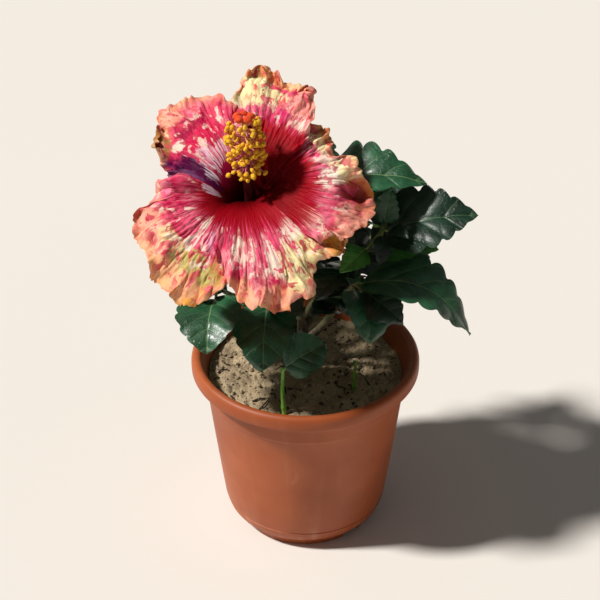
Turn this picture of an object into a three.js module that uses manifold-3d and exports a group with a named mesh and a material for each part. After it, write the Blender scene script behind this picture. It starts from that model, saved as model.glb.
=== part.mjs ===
// A hibiscus shrub in its plastic pot, with one open ruffled bloom.
// Millimetres, +Z up. The origin is the centre of the pot's flat underside; the bloom faces -Y.
import * as THREE from 'three';
import { ParametricGeometry } from 'three/addons/geometries/ParametricGeometry.js';
import { mergeGeometries, mergeVertices } from 'three/addons/utils/BufferGeometryUtils.js';
import Module from 'manifold-3d';

const wasm = await Module();
wasm.setup();

// ---------------------------------------------------------------- driving dimensions
const CLEARANCE = 0.3; // between pieces that touch
const ROUND = 44; // sides of the pot and of the soil in it

const POT = { footRadius: 53, neckRadius: 71.5, rimRadius: 85, height: 143, wall: 3.6, floor: 8 };
const NOTCH = { count: 4, width: 14, height: 5.4, first: -49 };
const DRAIN = { count: 4, radius: 4, from: 30 };

const SOIL_TOP = 127;
const SOIL_HOLLOW = 1.4; // how far the soil's surface dips between its crumbs

const TRUNK = { foot: [0, 6], radius: 7.2, tip: 5, flare: 3.4 };

const PETAL = { throat: 5.6, thick: 1.1, cup: 38, spread: 18, reflex: 18, tilt: 2.6, ruffle: 3.4 };
const CLAW_WIDTH = 34; // degrees to each side of a petal's claw, and `width` further out
const BLOOM = { at: [-38, -20.6, 278.9], elevation: 50 };

const LEAF_THICK = 0.95;
const LEAF_APART = 14; // between the spots where grown leaves are tried against each other
const TOOTH = 0.085; // how far the leaf's margin steps in and out, as a share of its width
const GOLDEN_ANGLE = Math.PI * (3 - Math.sqrt(5));

// Limbs: points from the trunk's axis to the tip, then the radius at each end.
const BOUGHS = {
  bough_leader: { path: [[-8, 8, 184], [-18, 6, 212], [-29, 2, 236]], radius: [4.4, 2.8] },
  bough_upper: { path: [[-7, 8, 174], [4, 20, 200], [1, 21, 240]], radius: [2.8, 2] },
  bough_right: { path: [[-5, 7.5, 166], [14, 5, 193], [36, 2, 222]], radius: [3.2, 2.2] },
  bough_right_low: { path: [[-2, 6.8, 146], [14, -3, 170], [26, -12, 200]], radius: [3.2, 2.2] },
  bough_front: { path: [[-1, 6.5, 139], [-14, -6, 156], [-24, -16, 178]], radius: [3, 2] },
  bough_left: { path: [[-4, 7, 156], [-28, 4, 168], [-52, 0, 192]], radius: [3.2, 2.1] },
  bough_back: { path: [[-3, 7, 146], [-4, 24, 172], [0, 38, 205]], radius: [3.2, 2.2] },
  bough_back_left: { path: [[-6, 8, 168], [-26, 20, 190], [-45, 32, 215]], radius: [3.1, 2.1] },
  bough_back_right: { path: [[-3.5, 7, 157], [17, 18, 178], [38, 30, 200]], radius: [3, 2.1] },
};

// Foliage masses. `leaves` are placed by hand: the way along the stem where the leaf stalk
// starts, the tip, the blade's length and width, its turn about its midrib and its arch.
// `grown` leaves stand on twigs that branch from the stem by the seeded rule, and stay in the
// mass's own space: a sector of headings about the trunk, a height range and a reach.
const SHOOTS = {
  foliage_right_low: {
    bough: 'bough_right_low', stem: [[31, -18, 209], [36, -22, 219]], radius: [2.1, 1.3],
    leaves: [
      { at: 0.95, tip: [118, -40, 187], size: [84, 46], turn: 14, arch: 0.27 },
      { at: 0.85, tip: [68, -53, 204], size: [38, 32], turn: 30, arch: 0.1 },
      { at: 0.7, tip: [45, -63, 195], size: [42, 38], turn: -24, arch: 0.14 },
    ],
  },
  foliage_right: {
    bough: 'bough_right', stem: [[46, -2, 236], [55, -2, 250]], radius: [2.1, 1.2],
    leaves: [
      { at: 0.85, tip: [121, -6, 264], size: [64, 44], turn: 32, arch: 0.1 },
      { at: 0.3, tip: [95, -3, 234], size: [44, 26], turn: 20, arch: 0.08 },
      { at: 0.95, tip: [60, 2, 281], size: [28, 20], turn: 40, arch: 0.05 },
      { at: 0.7, tip: [24, -38, 236], size: [28, 18], turn: -35, arch: 0.1 },
    ],
  },
  foliage_upper_right: {
    bough: 'bough_upper', stem: [[4, 22, 254], [9, 24, 265]], radius: [2, 1.2],
    leaves: [
      { at: 0.95, tip: [84, 2, 286], size: [78, 48], turn: 22, arch: 0.17 },
      { at: 0.6, tip: [66, 12, 268], size: [50, 34], turn: 30, arch: 0.12 },
    ],
  },
  foliage_left: {
    bough: 'bough_left', stem: [[-60, -4, 199], [-66, -9, 207]], radius: [2, 1.2],
    leaves: [
      { at: 0.8, tip: [-69, -66, 187], size: [50, 43], turn: 8, arch: 0.16 },
      { at: 0.95, tip: [-96, -28, 214], size: [40, 30], turn: -14, arch: 0.14 },
      { at: 0.4, tip: [-101, 4, 207], size: [46, 33], turn: 8, arch: 0.14 },
    ],
  },
  foliage_front: {
    bough: 'bough_front', stem: [[-26, -17, 188], [-27, -14, 198]], radius: [1.9, 1.1],
    leaves: [
      { at: 0.9, tip: [-27, -66, 173], size: [54, 50], turn: 4, arch: 0.14 },
      { at: 0.95, tip: [-2, -44, 205], size: [34, 25], turn: 20, arch: 0.12 },
    ],
  },
  foliage_back: {
    bough: 'bough_back', stem: [[1, 44, 222], [-4, 50, 240], [-6, 52, 258]], radius: [2.1, 1.2],
    grown: 7, seed: 21, sector: [62, 124], reach: 112, height: [165, 285],
  },
  foliage_back_left: {
    bough: 'bough_back_left', stem: [[-53, 36, 230], [-60, 40, 247], [-62, 42, 262]],
    radius: [2, 1.2], grown: 7, seed: 22, sector: [128, 192], reach: 108, height: [172, 292],
  },
  foliage_back_right: {
    bough: 'bough_back_right', stem: [[46, 36, 212], [52, 40, 224], [54, 42, 236]],
    radius: [2, 1.2], grown: 7, seed: 23, sector: [4, 58], reach: 106, height: [165, 262],
  },
};

// Petals, clockwise from the top one as the bloom is faced; each laps over the next. `skew`
// makes the anticlockwise side longer.
const PETALS = {
  petal_top: { heading: 11, reach: 97, width: 42, skew: 0.12 },
  petal_right: { heading: 92, reach: 81, width: 54, skew: 0 },
  petal_low_right: { heading: 166, reach: 86, width: 47, skew: 0 },
  petal_low_left: { heading: 234, reach: 86, width: 56, skew: 0 },
  petal_high_left: { heading: 314, reach: 84, width: 48, skew: 0 },
};

const COLOURS = {
  pot: '#a9512f', soil: '#8f7f6b', bark: '#6b5a41', green: '#5f7a35', leaf: '#1d3a22',
  young: '#4f8f2b', petal: '#c9344f', stamen: '#d8a514', sepal: '#4d7030',
};

// ---------------------------------------------------------------- small helpers
const rad = THREE.MathUtils.degToRad;
const { clamp, lerp, smoothstep } = THREE.MathUtils;
const vec = (list) => new THREE.Vector3(...list);

/** Seeded random numbers between 0 and 1, the same run every time. */
function seeded(seed) {
  let state = seed >>> 0;
  return () => {
    state = (state + 0x6d2b79f5) >>> 0;
    let mixed = Math.imul(state ^ (state >>> 15), state | 1);
    mixed ^= mixed + Math.imul(mixed ^ (mixed >>> 7), mixed | 61);
    return ((mixed ^ (mixed >>> 14)) >>> 0) / 4294967296;
  };
}

/** Rounds a point to a thousandth of a millimetre, so that shared edges meet exactly. */
function snap(point) {
  return point.multiplyScalar(1000).round().multiplyScalar(0.001);
}

/** The geometry as a closed solid: vertices merged, collapsed triangles dropped, faces outward. */
function solid(geometry) {
  const bare = new THREE.BufferGeometry();
  bare.setAttribute('position', geometry.getAttribute('position'));
  bare.setIndex(geometry.getIndex());
  const merged = mergeVertices(bare, 1e-4);
  const position = merged.getAttribute('position');
  const index = merged.getIndex().array;
  const corner = (i) => new THREE.Vector3().fromBufferAttribute(position, i);
  const triangles = [];
  let volume = 0;
  for (let i = 0; i < index.length; i += 3) {
    const [a, b, c] = index.slice(i, i + 3);
    if (a === b || b === c || a === c) continue;
    triangles.push(a, b, c);
    volume += corner(a).dot(corner(b).cross(corner(c)));
  }
  if (volume < 0) triangles.reverse();
  return new wasm.Manifold(new wasm.Mesh({
    numProp: 3,
    vertProperties: new Float32Array(position.array),
    triVerts: new Uint32Array(triangles),
  }));
}

/** A named mesh of a solid in one colour. */
function mesh(name, body, colour, roughness = 0.6) {
  const { vertProperties, triVerts } = body.getMesh();
  const geometry = new THREE.BufferGeometry();
  geometry.setAttribute('position', new THREE.BufferAttribute(vertProperties, 3));
  geometry.setIndex(new THREE.BufferAttribute(triVerts, 1));
  geometry.computeVertexNormals();
  const material = new THREE.MeshStandardMaterial({ color: colour, roughness, metalness: 0 });
  const piece = new THREE.Mesh(geometry, material);
  piece.name = name;
  return piece;
}

/** A round limb along a smooth curve, its radius a function of the way along (0 to 1). */
function limb(path, radiusAt, sides, steps) {
  const curve = new THREE.CatmullRomCurve3(path.map(vec));
  const { normals, binormals } = curve.computeFrenetFrames(steps, false);
  const centres = curve.getSpacedPoints(steps);
  const rows = steps + 2; // the first and last row are the centres of the end faces
  return solid(new ParametricGeometry((u, v, target) => {
    const row = Math.round(v * rows);
    const step = clamp(row - 1, 0, steps);
    const radius = row === 0 || row === rows ? 0 : radiusAt(step / steps);
    const angle = 2 * Math.PI * u;
    target.copy(centres[step]);
    target.addScaledVector(normals[step], radius * Math.cos(angle));
    snap(target.addScaledVector(binormals[step], radius * Math.sin(angle)));
  }, sides, rows));
}

/** A thin closed sheet: `middle` gives its mid surface, `depth` half its thickness there. */
function sheet(middle, depth, across, along) {
  const face = (side) => new ParametricGeometry((u, v, target) => {
    const i = side > 0 ? Math.round(u * across) : across - Math.round(u * across);
    const j = Math.round(v * along);
    const { point, normal } = middle(i / across, j / along);
    const edge = i === 0 || i === across || j === 0 || j === along;
    snap(target.copy(point).addScaledVector(normal, edge ? 0 : side * depth));
  }, across, along);
  return solid(mergeGeometries([face(1), face(-1)]));
}

const joined = (bodies) => bodies.reduce((whole, body) => whole.add(body));

// ---------------------------------------------------------------- pot and soil
/** Turns a profile of [radius, height] points that starts and ends on the axis. */
function turned(profile) {
  const points = profile.map(([radius, height]) => new THREE.Vector2(radius, height));
  const geometry = new THREE.LatheGeometry(points, ROUND);
  return geometry.rotateX(Math.PI / 2);
}

/** Inner wall of the pot from the floor to the soil's surface, as [radius, height]. */
function innerWall() {
  const { neckRadius, wall, floor } = POT;
  const neck = neckRadius - wall - 1;
  return [[54, floor], [57, floor + 5], [neck, 94], [neck + 2.4, 100], [72.7, SOIL_TOP]];
}

function makePot() {
  const { footRadius, neckRadius, rimRadius, height } = POT;
  const outer = [
    [0, 0], [footRadius - 1, 0], [footRadius, 1], [footRadius + 1, 5.5], [footRadius + 2.8, 6.5],
    [59.4, 11], [62.3, 20], [neckRadius, 94], [73.9, 113.5], [75, 115.2], [76.6, 130.6],
    [84.2, 131.6], [rimRadius, 133], [rimRadius, 138.5], [83.6, 142],
    [81.3, height], [78.6, height - 0.6], [77, height - 3.6],
  ];
  let body = solid(turned([...outer, ...innerWall().reverse(), [0, POT.floor]]));
  for (let i = 0; i < NOTCH.count; i += 1) {
    const angle = rad(NOTCH.first + (360 / NOTCH.count) * i);
    const box = new THREE.BoxGeometry(16, NOTCH.width, 2 * NOTCH.height);
    box.translate(footRadius + 2, 0, 0).rotateZ(angle);
    body = body.subtract(solid(box));
  }
  for (let i = 0; i < DRAIN.count; i += 1) {
    const hole = new THREE.CylinderGeometry(DRAIN.radius, DRAIN.radius, 30, 12);
    hole.rotateX(Math.PI / 2).translate(DRAIN.from, 0, 0).rotateZ(rad((360 / DRAIN.count) * i + 45));
    body = body.subtract(solid(hole));
  }
  return body;
}

/** Height of the soil's surface: it dips in shallow hollows, less so towards the plant's foot. */
function soilHeight(x, y) {
  const waves = Math.sin(x * 0.16 + 1.2) + Math.sin(y * 0.21 + x * 0.07) + Math.sin((x - y) * 0.11);
  const fromFoot = Math.hypot(x - TRUNK.foot[0], y - TRUNK.foot[1]);
  return SOIL_TOP - (SOIL_HOLLOW / 3) * Math.abs(waves) * smoothstep(fromFoot, 12, 30);
}

/** The soil that fills the pot, or with `extra` the space it needs below other pieces. */
function makeSoil(extra = 0) {
  const wall = innerWall().map(([radius, height]) => [radius - CLEARANCE, height]);
  wall[0] = [wall[0][0] - CLEARANCE, POT.floor + CLEARANCE];
  const top = [60, 46, 31, 16, 0].map((radius) => [radius, SOIL_TOP]);
  const geometry = turned([[0, POT.floor + CLEARANCE], ...wall, ...top]);
  const position = geometry.getAttribute('position');
  for (let i = 0; i < position.count; i += 1) {
    if (position.getZ(i) > SOIL_TOP - 0.01) {
      position.setZ(i, soilHeight(position.getX(i), position.getY(i)) + extra);
    }
  }
  return solid(geometry);
}

// ---------------------------------------------------------------- trunk and boughs
/** The trunk with its flared foot, cut flat at the soil, or with `extra` the space it needs. */
function makeTrunk(extra = 0) {
  const [x, y] = TRUNK.foot;
  const path = [[x, y, SOIL_TOP - 2], [x - 3, y + 1, 150], [x - 8, y + 2, 183.7 + extra]];
  const radiusAt = (way) => {
    const flare = TRUNK.flare * Math.max(0, 1 - way / 0.22) ** 2;
    return lerp(TRUNK.radius, TRUNK.tip, way) + flare + extra;
  };
  const below = new THREE.BoxGeometry(60, 60, 20).translate(x, y, SOIL_TOP + CLEARANCE - 10);
  return limb(path, radiusAt, 12, 9).subtract(solid(below));
}

/** A bough, or the space it needs: `extra` thickens it and lengthens it at the tip. */
function makeBough({ path, radius }, extra = 0) {
  const end = vec(path.at(-1));
  const outward = end.clone().sub(vec(path.at(-2))).setLength(extra);
  const reached = [...path.slice(0, -1), end.add(outward).toArray()];
  return limb(reached, (way) => lerp(...radius, way) + extra, 8, 5);
}

// ---------------------------------------------------------------- leaves
/** Unit axes of a leaf: along its midrib, to its side and up from its blade. */
function leafAxes(base, tip, turn) {
  const along = tip.clone().sub(base).normalize();
  const side = new THREE.Vector3().crossVectors(along, new THREE.Vector3(0, 0, 1)).normalize();
  side.applyAxisAngle(along, rad(turn));
  return { along, side, up: new THREE.Vector3().crossVectors(side, along) };
}

/** Half the blade's width at a way along it, ovate, as a share of its greatest half width. */
const ovate = (way) => Math.sin(Math.PI * way ** 0.72) ** 0.8;

/** Mid surface of a blade: `u` from -1 at the left margin to 1 at the right, `v` base to tip. */
function bladePoint(leaf, u, v) {
  const { base, length, width, arch, axes } = leaf;
  const half = (width / 2) * ovate(v);
  const fold = 0.22 * Math.abs(u) * half;
  const rise = arch * length * 4 * v * (1 - v) - 0.18 * arch * length * v * v;
  return base.clone()
    .addScaledVector(axes.along, length * v)
    .addScaledVector(axes.side, half * u)
    .addScaledVector(axes.up, rise + fold);
}

/** A leaf blade whose margin steps in and out in coarse teeth. */
function makeBlade(leaf) {
  const along = 7;
  return sheet((i, j) => {
    const u = 2 * i - 1;
    const tooth = Math.abs(u) === 1 ? 1 + TOOTH * (Math.round(j * along) % 2 ? 1 : -1) : 1;
    return { point: bladePoint(leaf, u * tooth, j), normal: leaf.axes.up };
  }, LEAF_THICK / 2, 4, along);
}

/** A leaf's stalk, from its root inside the twig to a quarter of the way under the blade. */
function makeStalk(leaf) {
  const under = (v) => bladePoint(leaf, 0, v).addScaledVector(leaf.axes.up, -0.95).toArray();
  return limb([leaf.root.toArray(), under(0.02), under(0.22)], (way) => lerp(1.2, 1, way), 4, 3);
}

/** Where the leaf's blade and stalk lie, from its stalk's root and its tip. */
function placedLeaf(root, tip, [length, width], turn, arch) {
  const base = tip.clone().addScaledVector(root.clone().sub(tip).normalize(), length);
  return { root, base, tip, length, width, arch, axes: leafAxes(base, tip, turn) };
}

const SPOTS = [[0, 0.1], [0, 0.5], [0, 1], [-1, 0.4], [1, 0.4], [-1, 0.75], [1, 0.75]];

/** True where the blade lies in the mass's own space, clear of its other leaves and the boughs. */
function fits(leaf, { sector, reach, height }, others) {
  const spots = SPOTS.map(([u, v]) => bladePoint(leaf, u, v));
  const taken = others.flatMap((other) => SPOTS.map(([u, v]) => bladePoint(other.leaf, u, v)));
  if (spots.some((spot) => taken.some((place) => place.distanceTo(spot) < LEAF_APART))) return false;
  return spots.every((spot) => {
    const [east, north] = [spot.x - TRUNK.foot[0], spot.y - TRUNK.foot[1]];
    const heading = (THREE.MathUtils.radToDeg(Math.atan2(north, east)) + 360) % 360;
    const inside = heading > sector[0] && heading < sector[1] && Math.hypot(east, north) < reach
      && spot.z > height[0] && spot.z < height[1];
    return inside && Object.values(BOUGHS).every(({ path }) => path.slice(1).every((point, i) => {
      const line = new THREE.Line3(vec(path[i]), vec(point));
      return line.closestPointToPoint(spot, true, new THREE.Vector3()).distanceTo(spot) > 4;
    }));
  });
}

/** Twigs of a mass by the seeded rule, each with the leaf at its tip. */
function grownTwigs(shoot, stem) {
  const random = seeded(shoot.seed);
  const outward = rad((shoot.sector[0] + shoot.sector[1]) / 2);
  const twigs = [];
  for (let i = 0; twigs.length < shoot.grown && i < 200; i += 1) {
    const root = stem.getPointAt(0.25 + 0.75 * random());
    const heading = outward + rad(lerp(-80, 80, random()));
    const rise = rad(lerp(-30, 60, random()));
    const twig = lerp(5, 14, random());
    const length = lerp(40, 58, random());
    const droop = rad(lerp(10, 34, random()));
    const turn = lerp(-22, 22, random());
    const pointing = (angle) => new THREE.Vector3(
      Math.cos(angle) * Math.cos(heading), Math.cos(angle) * Math.sin(heading), Math.sin(angle),
    );
    const end = root.clone().addScaledVector(pointing(rise), twig);
    const tip = end.clone().addScaledVector(pointing(rise - droop), length + 7);
    const leaf = placedLeaf(end, tip, [length, length * 0.7], turn, 0.12);
    if (fits(leaf, shoot, twigs)) twigs.push({ root, end, leaf });
  }
  return twigs;
}

/** A foliage mass: one stem, its twigs and stalks, and the leaves fused to them. */
function makeShoot(shoot) {
  const bough = BOUGHS[shoot.bough];
  const path = [bough.path.at(-1), ...shoot.stem];
  const stem = new THREE.CatmullRomCurve3(path.map(vec));
  const bodies = [limb(path, (way) => lerp(...shoot.radius, way), 6, 6)];
  for (const { at, tip, size, turn, arch } of shoot.leaves ?? []) {
    const leaf = placedLeaf(stem.getPointAt(at), vec(tip), size, turn, arch);
    bodies.push(makeStalk(leaf), makeBlade(leaf));
  }
  for (const { root, end, leaf } of shoot.grown ? grownTwigs(shoot, stem) : []) {
    bodies.push(limb([root.toArray(), end.toArray()], (way) => lerp(1.6, 1.3, way), 5, 1));
    bodies.push(makeStalk(leaf), makeBlade(leaf));
  }
  return joined(bodies).subtract(makeBough(bough, CLEARANCE));
}

/** A young shoot straight out of the soil, with its leaves, from a path that starts in the soil. */
function makeSprout(path, radius, leaves) {
  const stem = new THREE.CatmullRomCurve3(path.map(vec));
  const bodies = [limb(path, (way) => lerp(...radius, way), 6, 4)];
  for (const { at, tip, size, turn, arch } of leaves) {
    const leaf = placedLeaf(stem.getPointAt(at), vec(tip), size, turn, arch);
    bodies.push(makeStalk(leaf), makeBlade(leaf));
  }
  return joined(bodies).subtract(makeSoil(CLEARANCE));
}

// ---------------------------------------------------------------- bloom
const FACING = new THREE.Vector3(0, -Math.cos(rad(BLOOM.elevation)), Math.sin(rad(BLOOM.elevation)));
const UPWARD = new THREE.Vector3(0, Math.sin(rad(BLOOM.elevation)), Math.cos(rad(BLOOM.elevation)));
const RIGHTWARD = new THREE.Vector3(1, 0, 0);

/** A point of the bloom: clockwise angle from the top, distance from its axis and height on it. */
function bloomPoint(angle, distance, height) {
  return vec(BLOOM.at)
    .addScaledVector(UPWARD, distance * Math.cos(angle))
    .addScaledVector(RIGHTWARD, distance * Math.sin(angle))
    .addScaledVector(FACING, height);
}

/** Height of the funnel that all petals share, with folds that grow towards the margin. */
function funnel(angle, distance) {
  const out = (distance - PETAL.throat) / PETAL.spread;
  const share = distance / 88;
  const folds = 0.7 * Math.sin(9 * angle + 1.3) + Math.sin(17 * angle + 0.4);
  return PETAL.cup * (1 - Math.exp(-out)) - PETAL.reflex * share ** 3 + PETAL.ruffle * share ** 3 * folds;
}

/** Mid surface of a petal: `t` from -1 to 1 across it, `s` from 0 at its claw to 1 at its margin. */
function petalPoint(petal, claw, s, t) {
  const reach = petal.reach * (1 - petal.skew * t) * Math.cos(t * Math.PI / 2 * 0.995) ** 0.34;
  const distance = PETAL.throat + s * Math.max(0, reach - PETAL.throat);
  const open = smoothstep(distance, PETAL.throat + 2, PETAL.throat + 26);
  const heading = rad(lerp(claw, petal.heading, smoothstep(distance, PETAL.throat, 50)));
  const angle = heading + rad(lerp(CLAW_WIDTH, petal.width, open)) * t;
  const lap = PETAL.tilt * t * smoothstep(distance, PETAL.throat, PETAL.throat + 10);
  return bloomPoint(angle, distance, funnel(angle, distance) + lap);
}

function makePetal(petal, claw) {
  const [across, along] = [18, 7];
  return sheet((i, j) => {
    const t = Math.sin((i - 0.5) * Math.PI);
    const s = j ** 1.25;
    const point = petalPoint(petal, claw, s, t);
    const step = 0.01;
    const alongPetal = petalPoint(petal, claw, s + step, t).sub(point);
    const acrossPetal = petalPoint(petal, claw, s, Math.min(1, t + step));
    acrossPetal.sub(petalPoint(petal, claw, s, Math.max(-1, t - step)));
    return { point, normal: acrossPetal.cross(alongPetal).normalize() };
  }, PETAL.thick / 2, across, along);
}

/** A piece of revolution about the bloom's axis, from [radius, height] points. */
function turnedOnBloom(profile, sides) {
  const points = profile.map(([radius, height]) => new THREE.Vector2(radius, height));
  const geometry = new THREE.LatheGeometry(points, sides);
  const basis = new THREE.Matrix4().makeBasis(RIGHTWARD, FACING, UPWARD.clone().negate());
  return geometry.applyMatrix4(basis.setPosition(...BLOOM.at));
}

function makeCalyx() {
  const cup = [[0, -8], [4.2, -7.4], [7.6, -3], [9.6, 1.5], [12.6, 6.5], [15, 9.5], [14, 9.9],
    [11.4, 7.4], [8.2, 2], [6.8, -1.6], [0, -1.6]];
  return solid(turnedOnBloom(cup, 15));
}

// Points of the column in the bloom's own axes: rightward, upward and along its axis.
const COLUMN = {
  path: [[0, 0, -0.9], [0, 0.6, 7], [-1, 8, 24], [-2, 19, 44], [-3, 36, 63]],
  radius: [4.6, 2.2],
  anthers: 21,
};

function makeColumn() {
  const random = seeded(5);
  const path = COLUMN.path.map(([right, up, height]) => vec(BLOOM.at)
    .addScaledVector(RIGHTWARD, right).addScaledVector(UPWARD, up).addScaledVector(FACING, height));
  const curve = new THREE.CatmullRomCurve3(path);
  const thickness = (way) => lerp(...COLUMN.radius, way ** 0.6);
  const bodies = [limb(path.map((point) => point.toArray()), thickness, 8, 8)];
  const stalked = (at, angle, forward, length, size) => {
    const root = curve.getPointAt(at);
    const tangent = curve.getTangentAt(at);
    const side = new THREE.Vector3().crossVectors(tangent, RIGHTWARD).normalize();
    const away = RIGHTWARD.clone().multiplyScalar(Math.cos(angle)).addScaledVector(side, Math.sin(angle));
    const end = root.clone().addScaledVector(away.addScaledVector(tangent, forward).normalize(), length);
    bodies.push(limb([root.toArray(), end.toArray()], () => 0.6, 3, 1));
    bodies.push(solid(new THREE.OctahedronGeometry(size, 0).translate(...end.toArray())));
  };
  for (let i = 0; i < COLUMN.anthers; i += 1) {
    const at = lerp(0.42, 0.92, (i + 0.5) / COLUMN.anthers);
    stalked(at, i * GOLDEN_ANGLE, 0.1, lerp(7.5, 12, random()), 3.6);
  }
  for (let i = 0; i < 5; i += 1) stalked(0.985, i * rad(72), 1.2, 7.5, 2.6);
  return joined(bodies);
}

function makeFlowerStalk() {
  const foot = BOUGHS.bough_leader.path.at(-1);
  const end = bloomPoint(0, 0, -8 - CLEARANCE);
  const before = bloomPoint(0, 0, -20);
  return limb([foot, [-33.5, -2, 251], before.toArray(), end.toArray()], () => 2.1, 8, 8)
    .subtract(makeBough(BOUGHS.bough_leader, CLEARANCE));
}

// ---------------------------------------------------------------- the whole plant
const hibiscus = new THREE.Group();
hibiscus.name = 'hibiscus_in_pot';
hibiscus.add(mesh('pot', makePot(), COLOURS.pot));
hibiscus.add(mesh('soil', makeSoil(), COLOURS.soil, 0.95));
hibiscus.add(mesh('trunk', makeTrunk(), COLOURS.bark, 0.8));

const aroundTrunk = makeTrunk(CLEARANCE);
for (const [name, bough] of Object.entries(BOUGHS)) {
  hibiscus.add(mesh(name, makeBough(bough).subtract(aroundTrunk), COLOURS.bark, 0.8));
}
for (const [name, shoot] of Object.entries(SHOOTS)) {
  hibiscus.add(mesh(name, makeShoot(shoot), COLOURS.leaf, 0.4));
}

hibiscus.add(mesh('young_shoot', makeSprout(
  [[-15.2, -55.3, SOIL_TOP - 4], [-16.5, -55, 146], [-16, -54, 166]], [1.7, 1.2],
  [{ at: 0.97, tip: [14, -50, 184], size: [33, 33], turn: 38, arch: 0.12 }],
), COLOURS.young, 0.5));
hibiscus.add(mesh('sprout', makeSprout(
  [[35.8, -24.6, SOIL_TOP - 4], [36, -25, 140], [37, -24, 151]], [1.5, 0.9],
  [{ at: 0.55, tip: [43, -27, 148], size: [6, 3.4], turn: 0, arch: 0.1 }],
), COLOURS.young, 0.5));

hibiscus.add(mesh('flower_stalk', makeFlowerStalk(), COLOURS.green));
hibiscus.add(mesh('calyx', makeCalyx(), COLOURS.sepal));
Object.entries(PETALS).forEach(([name, petal], i) => {
  const claw = PETALS.petal_top.heading + 72 * i;
  hibiscus.add(mesh(name, makePetal(petal, claw), COLOURS.petal, 0.5));
});
hibiscus.add(mesh('staminal_column', makeColumn(), COLOURS.stamen));

export default hibiscus;
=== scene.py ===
"""A hibiscus shrub in its plastic pot: fine meshes, finishes, floor, light and camera.

Lengths in the classes are millimetres and become metres when a mesh is made. The origin is the
centre of the pot's underside, +Z is up and the bloom faces -Y.
"""
import logging
import math
from dataclasses import dataclass, field
from enum import Enum
from typing import Callable, ClassVar, Sequence

import bpy
import numpy as np
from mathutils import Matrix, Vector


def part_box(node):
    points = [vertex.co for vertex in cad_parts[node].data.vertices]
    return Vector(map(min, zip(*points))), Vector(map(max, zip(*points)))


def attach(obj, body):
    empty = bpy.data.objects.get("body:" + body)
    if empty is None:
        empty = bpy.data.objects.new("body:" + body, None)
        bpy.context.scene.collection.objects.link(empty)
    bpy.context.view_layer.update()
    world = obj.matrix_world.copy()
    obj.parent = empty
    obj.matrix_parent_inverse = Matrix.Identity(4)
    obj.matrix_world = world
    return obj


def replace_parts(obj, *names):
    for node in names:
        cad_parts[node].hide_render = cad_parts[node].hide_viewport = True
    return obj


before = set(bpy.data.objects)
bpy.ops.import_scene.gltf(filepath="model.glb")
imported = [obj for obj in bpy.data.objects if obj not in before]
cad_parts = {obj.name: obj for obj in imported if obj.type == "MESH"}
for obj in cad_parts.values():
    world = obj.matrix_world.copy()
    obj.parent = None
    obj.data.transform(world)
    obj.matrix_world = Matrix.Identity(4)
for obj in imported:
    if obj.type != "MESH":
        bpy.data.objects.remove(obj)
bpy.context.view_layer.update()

MM = 0.001
TURN = 2 * math.pi
norm = np.linalg.norm

Array = np.ndarray
Colour = str
Pair = tuple[float, float]
Point = tuple[float, float, float]
Path = tuple[Point, ...]
Piece = bpy.types.Object
Socket = bpy.types.NodeSocket
Sockets = dict[str, Socket]
Relief = Callable[[Array, Array], Array]

log = logging.getLogger("hibiscus")


# ---------------- numbers
def unit(vectors: Array) -> Array:
    """The vectors at length 1."""
    return vectors / norm(vectors, axis=-1, keepdims=True)


def smooth(value: Array, low: float, high: float) -> Array:
    """Rises softly from 0 at `low` to 1 at `high`."""
    share = np.clip((np.asarray(value, float) - low) / (high - low), 0, 1)
    return share * share * (3 - 2 * share)


def mixed(first: float, second: float, share: float) -> float:
    """The value at a share of the way from the first to the second."""
    return first + (second - first) * share


class Dice:
    """Seeded random numbers that fall the same way on every run."""

    def __init__(self, seed: int) -> None:
        """Starts the run of numbers that a seed fixes."""
        self.state = seed & 0xFFFFFFFF

    def roll(self, low: float = 0.0, high: float = 1.0) -> float:
        """The next number.

        Args:
            low: The least that it can be.
            high: The bound that it stays under.

        Returns:
            A number from low to high.
        """
        top = 0xFFFFFFFF
        self.state = (self.state + 0x6D2B79F5) & top
        value = ((self.state ^ (self.state >> 15)) * (self.state | 1)) & top
        value ^= (value + (((value ^ (value >> 7)) * (value | 61)) & top)) & top
        return mixed(low, high, (value ^ (value >> 14)) / 4294967296)


@dataclass(frozen=True)
class Ripple:
    """Smooth seeded bumps in space, summed from waves of several lengths."""

    seed: int
    length: float
    octaves: int = 3

    def at(self, points: Array) -> Array:
        """The bumps' height at each point.

        Args:
            points: Points in the last axis, in millimetres or any other unit of `length`.

        Returns:
            Heights that mostly lie between -1 and 1.
        """
        generator = np.random.default_rng(self.seed)
        total = np.zeros(points.shape[:-1])
        for octave in range(self.octaves):
            for _ in range(7):
                way = unit(generator.normal(size=points.shape[-1]))
                turns = points @ way * TURN * 2**octave / self.length
                total += np.sin(turns + generator.uniform(0, TURN)) / 3.4 / 1.6**octave
        return total


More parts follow.
